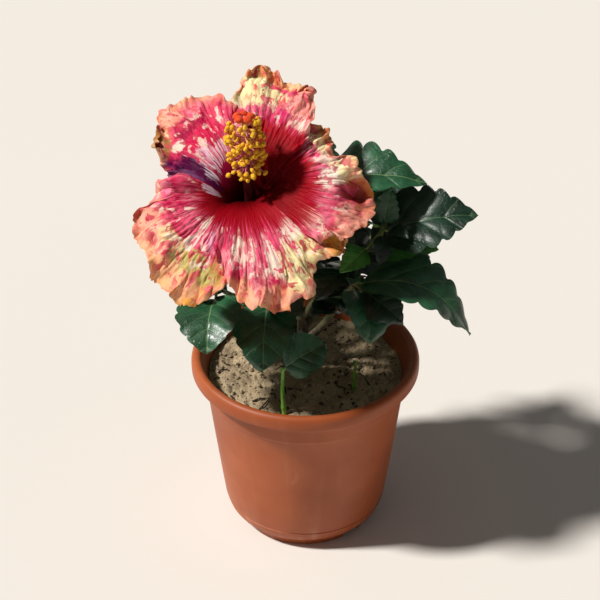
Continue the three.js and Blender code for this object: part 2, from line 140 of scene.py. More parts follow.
class Curve:
    """A smooth curve through points, measured by its length."""

    def __init__(self, points: Sequence[Point | Array]) -> None:
        """Measures the curve.

        Args:
            points: The points that it runs through.
        """
        inner = np.array(points, float)
        before, after = 2 * inner[0] - inner[1], 2 * inner[-1] - inner[-2]
        self.points = np.vstack([before, inner, after])
        self.marks = np.linspace(0, 1, 201)
        places = self.at(self.marks)
        steps = norm(np.diff(places, axis=0), axis=1)
        self.lengths = np.concatenate([[0], np.cumsum(steps)])

    def at(self, share: Array) -> Array:
        """Points at shares of the number of spans.

        Args:
            share: Values from 0 to 1.

        Returns:
            One point for each share.
        """
        spans = len(self.points) - 3
        place = np.asarray(share, float) * spans
        first = np.clip(np.floor(place).astype(int), 0, spans - 1)
        way = (place - first)[..., None]
        p0, p1, p2, p3 = (self.points[first + i] for i in range(4))
        d0, d1, d2 = (
            np.maximum(np.sum((b - a) ** 2, axis=-1, keepdims=True) ** 0.25, 1e-9)
            for a, b in ((p0, p1), (p1, p2), (p2, p3))
        )
        t1 = ((p1 - p0) / d0 - (p2 - p0) / (d0 + d1) + (p2 - p1) / d1) * d1
        t2 = ((p2 - p1) / d1 - (p3 - p1) / (d1 + d2) + (p3 - p2) / d2) * d1
        square = 3 * (p2 - p1) - 2 * t1 - t2
        cube = 2 * (p1 - p2) + t1 + t2
        return p1 + way * (t1 + way * (square + way * cube))

    def along(self, share: Array) -> Array:
        """Points at shares of the curve's length."""
        target = np.asarray(share, float) * self.lengths[-1]
        return self.at(np.interp(target, self.lengths, self.marks))


def turned_about(vector: Array, axis: Array, degrees: float) -> Array:
    """The vector turned about a unit axis.

    Args:
        vector: The vector.
        axis: The unit axis.
        degrees: How far it is turned.

    Returns:
        The turned vector.
    """
    angle = math.radians(degrees)
    across = np.cross(axis, vector)
    lengthwise = axis * np.dot(axis, vector) * (1 - math.cos(angle))
    return vector * math.cos(angle) + across * math.sin(angle) + lengthwise


# ---------------- meshes from arrays
def grid_faces(rows: int, columns: int) -> Array:
    """Triangles of a grid of vertices.

    Args:
        rows: Vertices one way.
        columns: Vertices the other way, which run fastest.

    Returns:
        An array of three vertices a triangle.
    """
    corner = np.arange(rows - 1)[:, None] * columns + np.arange(columns - 1)[None, :]
    a, b, c, d = corner, corner + 1, corner + columns + 1, corner + columns
    return np.concatenate([np.stack([a, b, c], -1).reshape(-1, 3), np.stack([a, c, d], -1).reshape(-1, 3)])


def ring_faces(rows: int, sides: int) -> Array:
    """Triangles between rows of vertices that close round.

    Args:
        rows: Bands between the rows of vertices.
        sides: Vertices round a row.

    Returns:
        An array of three vertices a triangle.
    """
    row, side = np.meshgrid(np.arange(rows), np.arange(sides), indexing="ij")
    a, b = row * sides + side, row * sides + (side + 1) % sides
    return np.stack([a, b, b + sides, a, b + sides, a + sides], -1).reshape(-1, 3)


@dataclass
class Heap:
    """Closed shapes that are gathered and then made into one mesh."""

    points: list[Array] = field(default_factory=list)
    faces: list[Array] = field(default_factory=list)
    charts: list[Array] = field(default_factory=list)
    slots: list[Array] = field(default_factory=list)
    islands: list[Array] = field(default_factory=list)
    sizes: list[Pair] = field(default_factory=list)
    edges: list[Array] = field(default_factory=list)
    count: int = 0

    def add(
        self,
        points: Array,
        faces: Array,
        slots: Array | int = 0,
        chart: Array | None = None,
        sides: Array | None = None,
        size: Pair = (1.0, 1.0),
        edge: Array | None = None,
    ) -> None:
        """Adds a closed shape, facing outwards, without its collapsed triangles.

        Args:
            points: Its vertices in millimetres.
            faces: Its triangles.
            slots: The material slot of each triangle, or of all.
            chart: A place on the pattern for each vertex.
            sides: Which side of the shape each triangle is on, for the flat layout.
            size: How large the chart's unit is, in millimetres each way.
            edge: How near each vertex is to the shape's margin.
        """
        slots = np.broadcast_to(slots, (len(faces),))
        sides = np.zeros(len(faces), int) if sides is None else sides
        a, b, c = (points[faces[:, i]] for i in range(3))
        kept = norm(np.cross(b - a, c - a), axis=1) > 1e-7
        faces = faces[kept]
        if np.sum(a * np.cross(b, c)) < 0:
            faces = faces[:, ::-1]
        chart = np.zeros((len(points), 2)) if chart is None else chart
        self.points.append(points)
        self.faces.append(faces + self.count)
        self.charts.append(chart[faces])
        self.slots.append(slots[kept])
        self.islands.append(sides[kept] + len(self.sizes))
        self.sizes += [size] * (int(sides.max()) + 1)
        self.edges.append(np.zeros(len(points)) if edge is None else edge)
        self.count += len(points)

    def sheet(
        self,
        top: Array,
        under: Array,
        slots: tuple[int, int] = (0, 0),
        chart: Array | None = None,
        size: Pair = (1.0, 1.0),
        edge: Array | None = None,
    ) -> None:
        """Adds a thin closed sheet from the grids of its two faces.

        Args:
            top: The upper face's vertices, row by row.
            under: The under face's vertices, in the same order.
            slots: The material slots of the two faces.
            chart: A place on the pattern for each vertex of a face.
            size: How large the chart's unit is, in millimetres each way.
            edge: How near each vertex of a face is to the sheet's margin.
        """
        rows, columns = top.shape[:2]
        front = grid_faces(rows, columns)
        sides = np.repeat([0, 1], len(front))
        self.add(
            np.concatenate([top.reshape(-1, 3), under.reshape(-1, 3)]),
            np.concatenate([front, front[:, ::-1] + rows * columns]), np.array(slots)[sides],
            None if chart is None else np.concatenate([chart.reshape(-1, 2)] * 2), sides, size,
            None if edge is None else np.concatenate([edge.ravel()] * 2))

    def layout(self) -> Array:
        """Lays every island flat in its own place of the unit square.

        Returns:
            A place for each corner of each triangle.
        """
        charts, islands = np.concatenate(self.charts), np.concatenate(self.islands)
        flat = charts * np.array(self.sizes)[islands][:, None, :]
        used = np.unique(islands)
        low = {i: flat[islands == i].reshape(-1, 2).min(axis=0) for i in used}
        extent = {i: flat[islands == i].reshape(-1, 2).max(axis=0) - low[i] + 0.4 for i in used}
        order = sorted(used, key=lambda i: -extent[i][1])
        side = math.sqrt(sum(float(e[0] * e[1]) for e in extent.values()))
        while True:
            x = y = shelf = 0.0
            places = {}
            for i in order:
                if x + extent[i][0] > side:
                    x, y, shelf = 0.0, y + shelf, 0.0
                places[i] = np.array([x, y])
                x, shelf = x + extent[i][0], max(shelf, float(extent[i][1]))
            if y + shelf <= side and max(float(e[0]) for e in extent.values()) <= side:
                break
            side *= 1.03
        shift = np.zeros((len(self.sizes), 2))
        for i in used:
            shift[i] = places[i] - low[i] + 0.2
        return (flat + shift[islands][:, None, :]) / side

    def build(
        self, name: str, finishes: Sequence["Finish"], slot: str, pattern: str = ""
    ) -> Piece:
        """Makes the gathered shapes into one object that rides on the plant.

        Args:
            name: The piece's name.
            finishes: Its finishes, in the order of its slots.
            slot: The record's slot that the finish belongs to; it is not used.
            pattern: The name of its pattern's map, where it has one.

        Returns:
            The object, with its place in its mesh.
        """
        faces = np.concatenate(self.faces)
        mesh = bpy.data.meshes.new(name)
        mesh.vertices.add(self.count)
        mesh.vertices.foreach_set("co", np.concatenate(self.points).ravel() * MM)
        mesh.loops.add(len(faces) * 3)
        mesh.loops.foreach_set("vertex_index", faces.ravel())
        mesh.polygons.add(len(faces))
        mesh.polygons.foreach_set("loop_start", np.arange(0, len(faces) * 3, 3))
        mesh.polygons.foreach_set("material_index", np.concatenate(self.slots).astype(np.int32))
        if pattern:
            for label, places in ((pattern, np.concatenate(self.charts)), ("OFBake", self.layout())):
                layer = mesh.uv_layers.new(name=label)
                layer.data.foreach_set("uv", places.ravel())
            edge = mesh.attributes.new("margin", "FLOAT", "POINT")
            edge.data.foreach_set("value", np.concatenate(self.edges))
        mesh.update(calc_edges=True)
        mesh.shade_smooth()
        return dressed(shown(name, mesh), finishes)


def shown(name: str, data: object) -> Piece:
    """A new object in the scene, for a mesh, a lamp or a camera.

    Args:
        name: Its name.
        data: What it shows.

    Returns:
        The object.
    """
    thing = bpy.data.objects.new(name, data)
    bpy.context.scene.collection.objects.link(thing)
    return thing


def dressed(piece: Piece, finishes: Sequence["Finish"]) -> Piece:
    """Gives a piece its finishes and its ride on the plant.

    Args:
        piece: The object.
        finishes: Its finishes, in the order of its slots.

    Returns:
        The same object.
    """
    for finish in finishes:
        piece.data.materials.append(finish.material())
    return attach(piece, "root") or piece


def tube(
    heap: Heap,
    curve: Curve,
    radius: Callable[[Array], Array],
    sides: int,
    steps: int,
    slot: int = 0,
    relief: Relief | None = None,
) -> None:
    """Adds a round limb with domed ends.

    Args:
        heap: Where it goes.
        curve: Its axis.
        radius: Its radius for each way along it.
        sides: Vertices round it.
        steps: Rings along it, less one.
        slot: Its material slot.
        relief: How far its surface stands out, for its points and the ways along it.
    """
    ways = np.linspace(0, 1, steps + 1)
    centres = curve.along(ways)
    tangents = unit(np.gradient(centres, axis=0))
    normal = unit(np.cross(tangents[0], [0.31, 0.17, 0.93]))
    normals = []
    for tangent in tangents:
        normal = unit(normal - tangent * np.dot(normal, tangent))
        normals.append(normal)
    normals = np.array(normals)
    binormals = np.cross(tangents, normals)
    angles = np.arange(sides) / sides * TURN
    turns = np.stack([np.cos(angles), np.sin(angles)])[:, None, :, None]
    away = turns[0] * normals[:, None] + turns[1] * binormals[:, None]
    radii = np.broadcast_to(radius(ways), ways.shape)[:, None, None]
    rings = centres[:, None] + radii * away
    if relief is not None:
        rings = rings + relief(rings, ways)[..., None] * away
    ends = np.array([
        centres[0] - tangents[0] * radii[0, 0, 0] * 0.5,
        centres[-1] + tangents[-1] * radii[-1, 0, 0] * 0.5,
    ])
    points = np.vstack([rings.reshape(-1, 3), ends])
    ring = np.arange(sides)
    following = (ring + 1) % sides
    first = np.stack([following, ring, np.full(sides, len(points) - 2)], -1)
    last = np.stack([ring, following, np.full(sides, -1)], -1)
    last[:, :2] += steps * sides
    last[:, 2] = len(points) - 1
    heap.add(points, np.concatenate([ring_faces(steps, sides), first, last]), slot)


def blob(heap: Heap, at: Array, radii: Array, axis: Array, slot: int = 0, rings: int = 6,
         sides: int = 9, rough: float = 0.0, seed: int = 1) -> None:
    """Adds a rounded lump.

    Args:
        heap: Where it goes.
        at: Its middle.
        radii: Its half width two ways and its half height along the axis.
        axis: The way that its poles lie.
        slot: Its material slot.
        rings: Rows of vertices from pole to pole.
        sides: Vertices round it.
        rough: How uneven its surface is, as a share of its radius.
        seed: Fixes the unevenness.
    """
    axis = unit(np.asarray(axis, float))
    one = unit(np.cross(axis, [0.37, 0.61, 0.2]))
    two = np.cross(axis, one)
    polar = np.linspace(0, math.pi, rings + 1)[:, None]
    round_ = np.arange(sides) / sides * TURN
    ball = np.stack([
        np.sin(polar) * np.cos(round_), np.sin(polar) * np.sin(round_),
        np.cos(polar) + 0 * round_,
    ], -1)
    if rough:
        ball = ball * (1 + rough * Ripple(seed, 1.6, 2).at(ball + seed))[..., None]
    ball = ball * np.asarray(radii)
    points = (at + ball[..., :1] * one + ball[..., 1:2] * two + ball[..., 2:] * axis).reshape(-1, 3)
    faces = ring_faces(rings, sides)
    faces = np.where(faces < sides, 0, faces)
    faces = np.where(faces >= rings * sides, rings * sides, faces)
    different = (faces[:, 0] != faces[:, 1]) & (faces[:, 1] != faces[:, 2]) & (faces[:, 0] != faces[:, 2])
    heap.add(points, faces[different], slot)


# ---------------- node boards
def tint(code: Colour) -> Point:
    """A colour for a shader from its code of six hexadecimal digits."""
    parts = (int(code[i:i + 2], 16) / 255 for i in (1, 3, 5))
    return tuple(p / 12.92 if p <= 0.04045 else ((p + 0.055) / 1.055) ** 2.4 for p in parts)


class Board:
    """The nodes of a material or of a node group, with short ways to place them."""

    def __init__(self, tree: bpy.types.NodeTree) -> None:
        """Takes the tree that the nodes go into."""
        self.tree = tree

    def add(self, kind: str, **settings: object) -> bpy.types.Node:
        """Adds a node.

        Args:
            kind: The node's type.
            **settings: Its properties.

        Returns:
            The node.
        """
        node = self.tree.nodes.new(kind)
        for name, value in settings.items():
            setattr(node, name, value)
        return node

    def feed(self, socket: Socket, value: object) -> None:
        """Links a socket's source to it, or sets its plain value.

        Args:
            socket: The socket.
            value: Its source, its value or its colour's code.
        """
        if isinstance(value, Socket):
            self.tree.links.new(value, socket)
        elif socket.type == "RGBA":
            socket.default_value = (*tint(value), 1.0)
        else:
            socket.default_value = value

    def maths(self, operation: str, *values: object) -> Socket:
        """The result of a sum.

        Args:
            operation: The kind of sum.
            *values: The values or sockets.

        Returns:
            The result's socket.
        """
        node = self.add("ShaderNodeMath", operation=operation)
        for socket, value in zip(node.inputs, values):
            self.feed(socket, value)
        return node.outputs[0]

    def product(self, *values: object) -> Socket:
        """Several values multiplied.

        Args:
            *values: The values or sockets.

        Returns:
            The product's socket.
        """
        result = values[0]
        for value in values[1:]:
            result = self.maths("MULTIPLY", result, value)
        return result

    def line(self, value: object, slope: object, start: object) -> Socket:
        """A start to which a slope times a value is added."""
        return self.maths("MULTIPLY_ADD", value, slope, start)

    def blend(self, mask: object, first: object, second: object) -> Socket:
        """A colour between two.

        Args:
            mask: How much of the second shows.
            first: The first colour.
            second: The second colour.

        Returns:
            The colour's socket.
        """
        node = self.add("ShaderNodeMix", data_type="RGBA")
        for index, value in ((0, mask), (6, first), (7, second)):
            self.feed(node.inputs[index], value)
        return node.outputs[2]

    def over(self, base: object, top: object, *masks: object) -> Socket:
        """A colour laid over another where the masks' product lets it show."""
        return self.blend(self.product(*masks), base, top)

    def ease(self, value: object, low: float, high: float, start: float = 0.0,
             end: float = 1.0) -> Socket:
        """Goes softly from `start` to `end` as a value goes from `low` to `high`.

        Args:
            value: The value or socket.
            low: Where the change starts.
            high: Where it ends.
            start: The result before it.
            end: The result after it.

        Returns:
            The result's socket.
        """
        node = self.add("ShaderNodeMapRange", interpolation_type="SMOOTHSTEP")
        for index, part in enumerate((value, low, high, start, end)):
            self.feed(node.inputs[index], part)
        return node.outputs[0]

    def band(self, value: object, level: object, border: object) -> Socket:
        """Goes softly from 0 to 1 within a border about a level."""
        return self.ease(value, self.maths("SUBTRACT", level, border), self.maths("ADD", level, border))

    def placed(self, vector: Socket, scale: Point = (1, 1, 1),
               shift: Point = (0, 0, 0)) -> Socket:
        """The coordinates, scaled and then shifted.

        Args:
            vector: The coordinates.
            scale: The factors.
            shift: What is added.

        Returns:
            The new coordinates.
        """
        node = self.add("ShaderNodeMapping")
        self.feed(node.inputs["Vector"], vector)
        node.inputs["Scale"].default_value = scale
        node.inputs["Location"].default_value = shift
        return node.outputs[0]

    def noise(self, vector: Socket, scale: object, detail: float,
              rough: float = 0.5, warp: float = 0.0) -> Socket:
        """Cloudy noise from 0 to 1.

        Args:
            vector: Its coordinates.
            scale: How many clouds lie in a unit.
            detail: How many finer layers it has.
            rough: How strong the finer layers are.
            warp: How far it is distorted.

        Returns:
            The noise's socket.
        """
        node = self.add("ShaderNodeTexNoise")
        self.feed(node.inputs["Vector"], vector)
        self.feed(node.inputs["Scale"], scale)
        node.inputs["Detail"].default_value = detail
        node.inputs["Roughness"].default_value = rough
        node.inputs["Distortion"].default_value = warp
        return node.outputs["Fac"]

    def cells(self, vector: Socket, scale: float, feature: str = "F1") -> Socket:
        """A distance among scattered points.

        Args:
            vector: The coordinates.
            scale: Points in a unit.
            feature: What the distance is to.

        Returns:
            The distance's socket.
        """
        node = self.add("ShaderNodeTexVoronoi", feature=feature)
        self.feed(node.inputs["Vector"], vector)
        node.inputs["Scale"].default_value = scale
        return node.outputs["Distance"]

    def place(self) -> Socket:
        """Coordinates of the object itself, in metres."""
        return self.add("ShaderNodeTexCoord").outputs["Object"]

    def chart(self, name: str) -> Socket:
        """Coordinates of the piece's own pattern map."""
        return self.add("ShaderNodeUVMap", uv_map=name).outputs[0]

    def split(self, vector: Socket) -> tuple[Socket, ...]:
        """The coordinates one by one."""
        node = self.add("ShaderNodeSeparateXYZ")
        self.feed(node.inputs[0], vector)
        return tuple(node.outputs)

    def surface(self, colour: object, rough: object, gloss: float, height: object = None,
                strength: float = 0.5, depth: float = 0.5, **constants: float) -> None:
        """Adds the shader and the material's output.

        Args:
            colour: The base colour.
            rough: The roughness.
            gloss: The specular level.
            height: The height that raises the surface, if any.
            strength: How strongly it does.
            depth: How far, in millimetres.
            **constants: Plain values of the shader's other sockets.
        """
        shader = self.add("ShaderNodeBsdfPrincipled")
        self.feed(shader.inputs["Base Color"], colour)
        self.feed(shader.inputs["Roughness"], rough)
        shader.inputs["Specular IOR Level"].default_value = gloss
        for name, value in constants.items():
            shader.inputs[name.replace("_", " ")].default_value = value
        if height is not None:
            bump = self.add("ShaderNodeBump")
            bump.inputs["Strength"].default_value = strength
            bump.inputs["Distance"].default_value = depth * MM
            self.feed(bump.inputs["Height"], height)
            self.feed(shader.inputs["Normal"], bump.outputs[0])
        self.feed(self.add("ShaderNodeOutputMaterial").inputs["Surface"], shader.outputs[0])


class Effect:
    """A node group that is built once and placed in each material with its own values."""

    name: ClassVar[str] = "effect"
    takes: ClassVar[dict[str, tuple[str, object]]] = {}
    gives: ClassVar[tuple[str, ...]] = ()

    def draw(self, board: Board, taken: Sockets) -> dict[str, object]:
        """Lays the group's nodes and returns what each output shows."""
        raise NotImplementedError

    def group(self) -> bpy.types.NodeTree:
        """The group's tree, built at its first use.

        Returns:
            The tree.
        """
        tree = bpy.data.node_groups.get(self.name)
        if tree:
            return tree
        tree = bpy.data.node_groups.new(self.name, "ShaderNodeTree")
        for label, (kind, value) in self.takes.items():
            socket = tree.interface.new_socket(label, in_out="INPUT", socket_type=f"NodeSocket{kind}")
            if value is not None:
                socket.default_value = value
        for label in self.gives:
            tree.interface.new_socket(label, in_out="OUTPUT", socket_type="NodeSocketFloat")
        board = Board(tree)
        source, result = board.add("NodeGroupInput"), board.add("NodeGroupOutput")
        drawn = self.draw(board, {label: source.outputs[label] for label in self.takes})
        for label, value in drawn.items():
            board.feed(result.inputs[label], value)
        return tree

    def use(self, board: Board, **values: object) -> Sockets:
        """Places the group on a board.

        Args:
            board: The material's board.
            **values: What its inputs take, by name.

        Returns:
            Its outputs by name.
        """
        node = board.add("ShaderNodeGroup", node_tree=self.group())
        for label, value in values.items():
            board.feed(node.inputs[label], value)
        return {label: node.outputs[label] for label in self.gives}


class Mottle(Effect):
    """Blots with uneven borders, over a set share of the surface."""

    name = "mottle"
    takes = {"Vector": ("Vector", None), "Scale": ("Float", 5.0), "Share": ("Float", 0.5),
             "Border": ("Float", 0.06)}
    gives = ("Mask",)

    def draw(self, board: Board, taken: Sockets) -> dict[str, object]:
        """Lays the nodes.

        Args:
            board: The group's board.
            taken: Its inputs.

        Returns:
            Its mask.
        """
        clouds = board.noise(taken["Vector"], taken["Scale"], 4.0, 0.55, 0.5)
        level = board.line(taken["Share"], -0.42, 0.71)
        return {"Mask": board.band(clouds, level, taken["Border"])}


def blots(board: Board, vector: Socket, scale: float, share: float, border: float) -> Socket:
    """The mask of a mottle, placed on a board."""
    return Mottle().use(board, Vector=vector, Scale=scale, Share=share, Border=border)["Mask"]


class Rays(Effect):
    """Fine rays that fan out along the second coordinate and fray as they go."""

    name = "rays"
    takes = {"Vector": ("Vector", None), "Share": ("Float", 0.5), "Border": ("Float", 0.08)}
    gives = ("Mask", "Fine")

    def draw(self, board: Board, taken: Sockets) -> dict[str, object]:
        """Lays the nodes.

        Args:
            board: The group's board.
            taken: Its inputs.

        Returns:
            The rays and their fine grain.
        """
        wide = board.noise(board.placed(taken["Vector"], (26, 3.2, 1)), 1.0, 3.0, 0.6, 0.25)
        fine = board.noise(board.placed(taken["Vector"], (85, 4.5, 1)), 1.0, 2.0, 0.5, 0.15)
        both = board.line(fine, 0.5, board.product(wide, 0.5))
        level = board.line(taken["Share"], -0.3, 0.65)
        return {"Mask": board.band(both, level, taken["Border"]), "Fine": fine}


class SoftPatch(Effect):
    """A round or long patch with a frayed border."""

    name = "soft_patch"
    takes = {"Vector": ("Vector", None), "Centre": ("Vector", None), "Size": ("Vector", None),
             "Fray": ("Float", 0.5)}
    gives = ("Mask",)

    def draw(self, board: Board, taken: Sockets) -> dict[str, object]:
        """Lays the nodes.

        Args:
            board: The group's board.
            taken: Its inputs.

        Returns:
            Its mask.
        """
        apart = board.add("ShaderNodeVectorMath", operation="SUBTRACT")
        board.feed(apart.inputs[0], taken["Vector"])
        board.feed(apart.inputs[1], taken["Centre"])
        scaled = board.add("ShaderNodeVectorMath", operation="DIVIDE")
        board.feed(scaled.inputs[0], apart.outputs[0])
        board.feed(scaled.inputs[1], taken["Size"])
        length = board.add("ShaderNodeVectorMath", operation="LENGTH")
        board.feed(length.inputs[0], scaled.outputs[0])
        clouds = board.noise(board.placed(taken["Vector"], (17, 9, 1)), 1.0, 4.0, 0.65, 0.3)
        frayed = board.line(board.maths("SUBTRACT", clouds, 0.5), board.product(taken["Fray"], 3.0),
                            length.outputs["Value"])
        return {"Mask": board.ease(frayed, 1.15, 0.75)}


class BladeVeins(Effect):
    """The midrib, side veins and net of a leaf, from its own chart."""

    name = "blade_veins"
    takes = {"Vector": ("Vector", None), "Pairs": ("Float", 4.0)}
    gives = ("Rib", "Veins", "Net", "Height")

    def draw(self, board: Board, taken: Sockets) -> dict[str, object]:
        """Lays the nodes.

        Args:
            board: The group's board.
            taken: Its inputs.

        Returns:
            The masks and the height.
        """
        across, along, _ = board.split(taken["Vector"])
        out = board.maths("ABSOLUTE", board.maths("SUBTRACT", across, 0.5))
        lean = board.line(board.product(out, out), 0.5, board.product(out, 0.62))
        phase = board.line(board.maths("SUBTRACT", along, lean), taken["Pairs"], 0.35)
        off = board.maths("ABSOLUTE", board.maths("SUBTRACT", phase, board.maths("ROUND", phase)))
        thin = board.ease(out, 0.0, 0.45, 0.055, 0.02)
        veins = board.ease(board.maths("DIVIDE", off, thin), 1.5, 0.6)
        rib = board.ease(out, board.ease(along, 0.0, 1.0, 0.02, 0.006), 0.004)
        net = board.ease(board.cells(taken["Vector"], 26.0, "DISTANCE_TO_EDGE"), 0.06, 0.0)
        lines = board.maths("MAXIMUM", rib, board.product(veins, 0.7))
        height = board.maths("SUBTRACT", 1.0, board.line(net, 0.25, lines))
        return {"Rib": rib, "Veins": veins, "Net": net, "Height": height}


# ---------------- finishes
class Finish:
    """A finish that makes its material once."""

    label: str
    made: ClassVar[dict[str, bpy.types.Material]] = {}

    def paint(self, board: Board) -> None:
        """Lays the material's nodes."""
        raise NotImplementedError

    def material(self) -> bpy.types.Material:
        """The finish's material, made at its first use.

        Returns:
            The material.
        """
        if self.label not in self.made:
            material = self.made[self.label] = bpy.data.materials.new(self.label)
            material.use_nodes = True
            material.node_tree.nodes.clear()
            self.paint(Board(material.node_tree))
        return self.made[self.label]


@dataclass(frozen=True)
class PotPlastic(Finish):
    """Smooth matte moulded plastic with faint clouds, scuffs and dust."""

    label: str = "pot_wall"
    body: Colour = "#a8552b"
    shade: Colour = "#974820"
    dust: Colour = "#cf9f80"

    def paint(self, board: Board) -> None:
        """Lays the material's nodes.

        Args:
            board: The material's board.
        """
        place = board.place()
        _, _, height = board.split(place)
        clouds = board.noise(place, 14.0, 3.0, 0.5)
        colour = board.blend(board.ease(clouds, 0.35, 0.65), self.body, self.shade)
        streaks = board.noise(board.placed(place, (1, 1, 0.16)), 60.0, 3.0, 0.6)
        low = board.ease(height, 0.03, 0.0)
        dusty = board.product(board.ease(streaks, 0.5, 0.75), board.line(low, 0.4, 0.07))
        colour = board.blend(dusty, colour, self.dust)
        scuffs = blots(board, board.placed(place, (1, 1, 0.3)), 150.0, 0.08, 0.03)
        colour = board.over(colour, self.dust, scuffs, 0.1)
        rough = board.line(clouds, 0.16, board.line(scuffs, 0.08, 0.42))
        fine = board.noise(place, 900.0, 2.0)
        lines = board.noise(board.placed(place, (0.05, 0.05, 1)), 260.0, 1.0)
        relief = board.line(fine, 0.35, lines)
        board.surface(colour, rough, 0.4, relief, 0.16, 0.35)


@dataclass(frozen=True)
class Earth(Finish):
    """Dry sandy potting soil with dark specks."""

    label: str = "earth"
    sand: Colour = "#ae9a7b"
    clay: Colour = "#8c7960"
    speck: Colour = "#2b2520"
    pale: Colour = "#ccbd9f"
    scale: float = 1.0

    def paint(self, board: Board) -> None:
        """Lays the material's nodes.

        Args:
            board: The material's board.
        """
        place = board.place()
        clouds = board.noise(place, 60.0 * self.scale, 4.0, 0.6)
        colour = board.blend(board.ease(clouds, 0.35, 0.65), self.clay, self.sand)
        grain = board.noise(place, 620.0 * self.scale, 3.0, 0.7)
        colour = board.blend(board.ease(grain, 0.55, 0.72, 0.0, 0.7), colour, self.pale)
        colour = board.blend(board.ease(grain, 0.42, 0.32, 0.0, 0.8), colour, self.clay)
        specks = blots(board, place, 760.0 * self.scale, 0.13, 0.02)
        colour = board.over(colour, self.speck, specks, 0.85)
        rough = board.ease(grain, 0.2, 0.8, 0.82, 0.98)
        height = board.line(grain, 0.7, board.product(specks, -0.4))
        board.surface(colour, rough, 0.2, height, 0.8, 1.2)


@dataclass(frozen=True)
class Bark(Finish):
    """Grey-brown bark with pale dots, greener where the limbs are young."""

    label: str = "old_bark"
    old: Colour = "#54483a"
    deep: Colour = "#2c241b"
    dot: Colour = "#83755e"
    young: Colour = "#5d6b35"

    def paint(self, board: Board) -> None:
        """Lays the material's nodes.

        Args:
            board: The material's board.
        """
        place = board.place()
        _, _, height = board.split(place)
        strips = board.noise(board.placed(place, (1, 1, 0.22)), 420.0, 4.0, 0.6)
        colour = board.blend(board.ease(strips, 0.3, 0.65), self.deep, self.old)
        dots = blots(board, board.placed(place, (0.6, 0.6, 1.4)), 700.0, 0.16, 0.03)
        colour = board.over(colour, self.dot, dots, 0.6)
        clouds = board.noise(place, 90.0, 2.0)
        youth = board.ease(board.line(clouds, 0.03, height), 0.165, 0.225, 0.0, 0.75)
        colour = board.blend(youth, colour, self.young)
        rough = board.ease(strips, 0.2, 0.8, 0.85, 0.62)
        relief = board.maths("ADD", strips, dots)
        board.surface(colour, rough, 0.3, relief, 0.7, 0.6)


@dataclass(frozen=True)
class StemSkin(Finish):
    """Smooth skin of a green stem, blushed in places."""

    label: str
    green: Colour
    blush: Colour
    blushed: float = 0.25
    gloss: float = 0.42

    def paint(self, board: Board) -> None:
        """Lays the material's nodes.

        Args:
            board: The material's board.
        """
        place = board.place()
        clouds = blots(board, place, 70.0, self.blushed, 0.12)
        colour = board.over(self.green, self.blush, clouds, 0.8)
        fine = board.noise(board.placed(place, (1, 1, 0.3)), 900.0, 3.0)
        colour = board.blend(board.ease(fine, 0.45, 0.75, 0.0, 0.35), colour, "#b9c48a")
        rough = board.ease(fine, 0.2, 0.8, self.gloss - 0.08, self.gloss + 0.12)
        board.surface(colour, rough, 0.5, fine, 0.35, 0.3)


@dataclass(frozen=True)
class LeafSkin(Finish):
    """A leaf's face, with its veins lighter and sunk."""

    label: str
    blade: Colour
    shade: Colour
    vein: Colour
    gloss: float = 0.3
    raised: bool = False

    def paint(self, board: Board) -> None:
        """Lays the material's nodes.

        Args:
            board: The material's board.
        """
        chart, place = board.chart("Blade"), board.place()
        veins = BladeVeins().use(board, Vector=chart)
        clouds = board.noise(place, 70.0, 3.0, 0.6)
        colour = board.blend(board.ease(clouds, 0.32, 0.68), self.shade, self.blade)
        colour = board.over(colour, self.vein, veins["Net"], 0.1)
        colour = board.over(colour, self.vein, veins["Veins"], 0.16)
        colour = board.over(colour, self.vein, veins["Rib"], 0.6)
        fine = board.noise(place, 700.0, 2.0)
        rough = board.line(clouds, 0.22, board.line(fine, 0.1, self.gloss - 0.12))
        sign = -1.0 if self.raised else 1.0
        height = board.line(veins["Height"], sign, board.product(fine, 0.3))
        board.surface(colour, rough, 0.5, height, 0.55, 0.6, Coat_Weight=0.1, Coat_Roughness=0.35)


@dataclass(frozen=True)
class Daub:
    """A patch of colour on a petal, by heading in degrees and distance in mm, and its half widths."""

    heading: float
    distance: float
    breadth: float
    depth: float
    colour: Colour
    strength: float = 1.0
    fray: float = 0.5


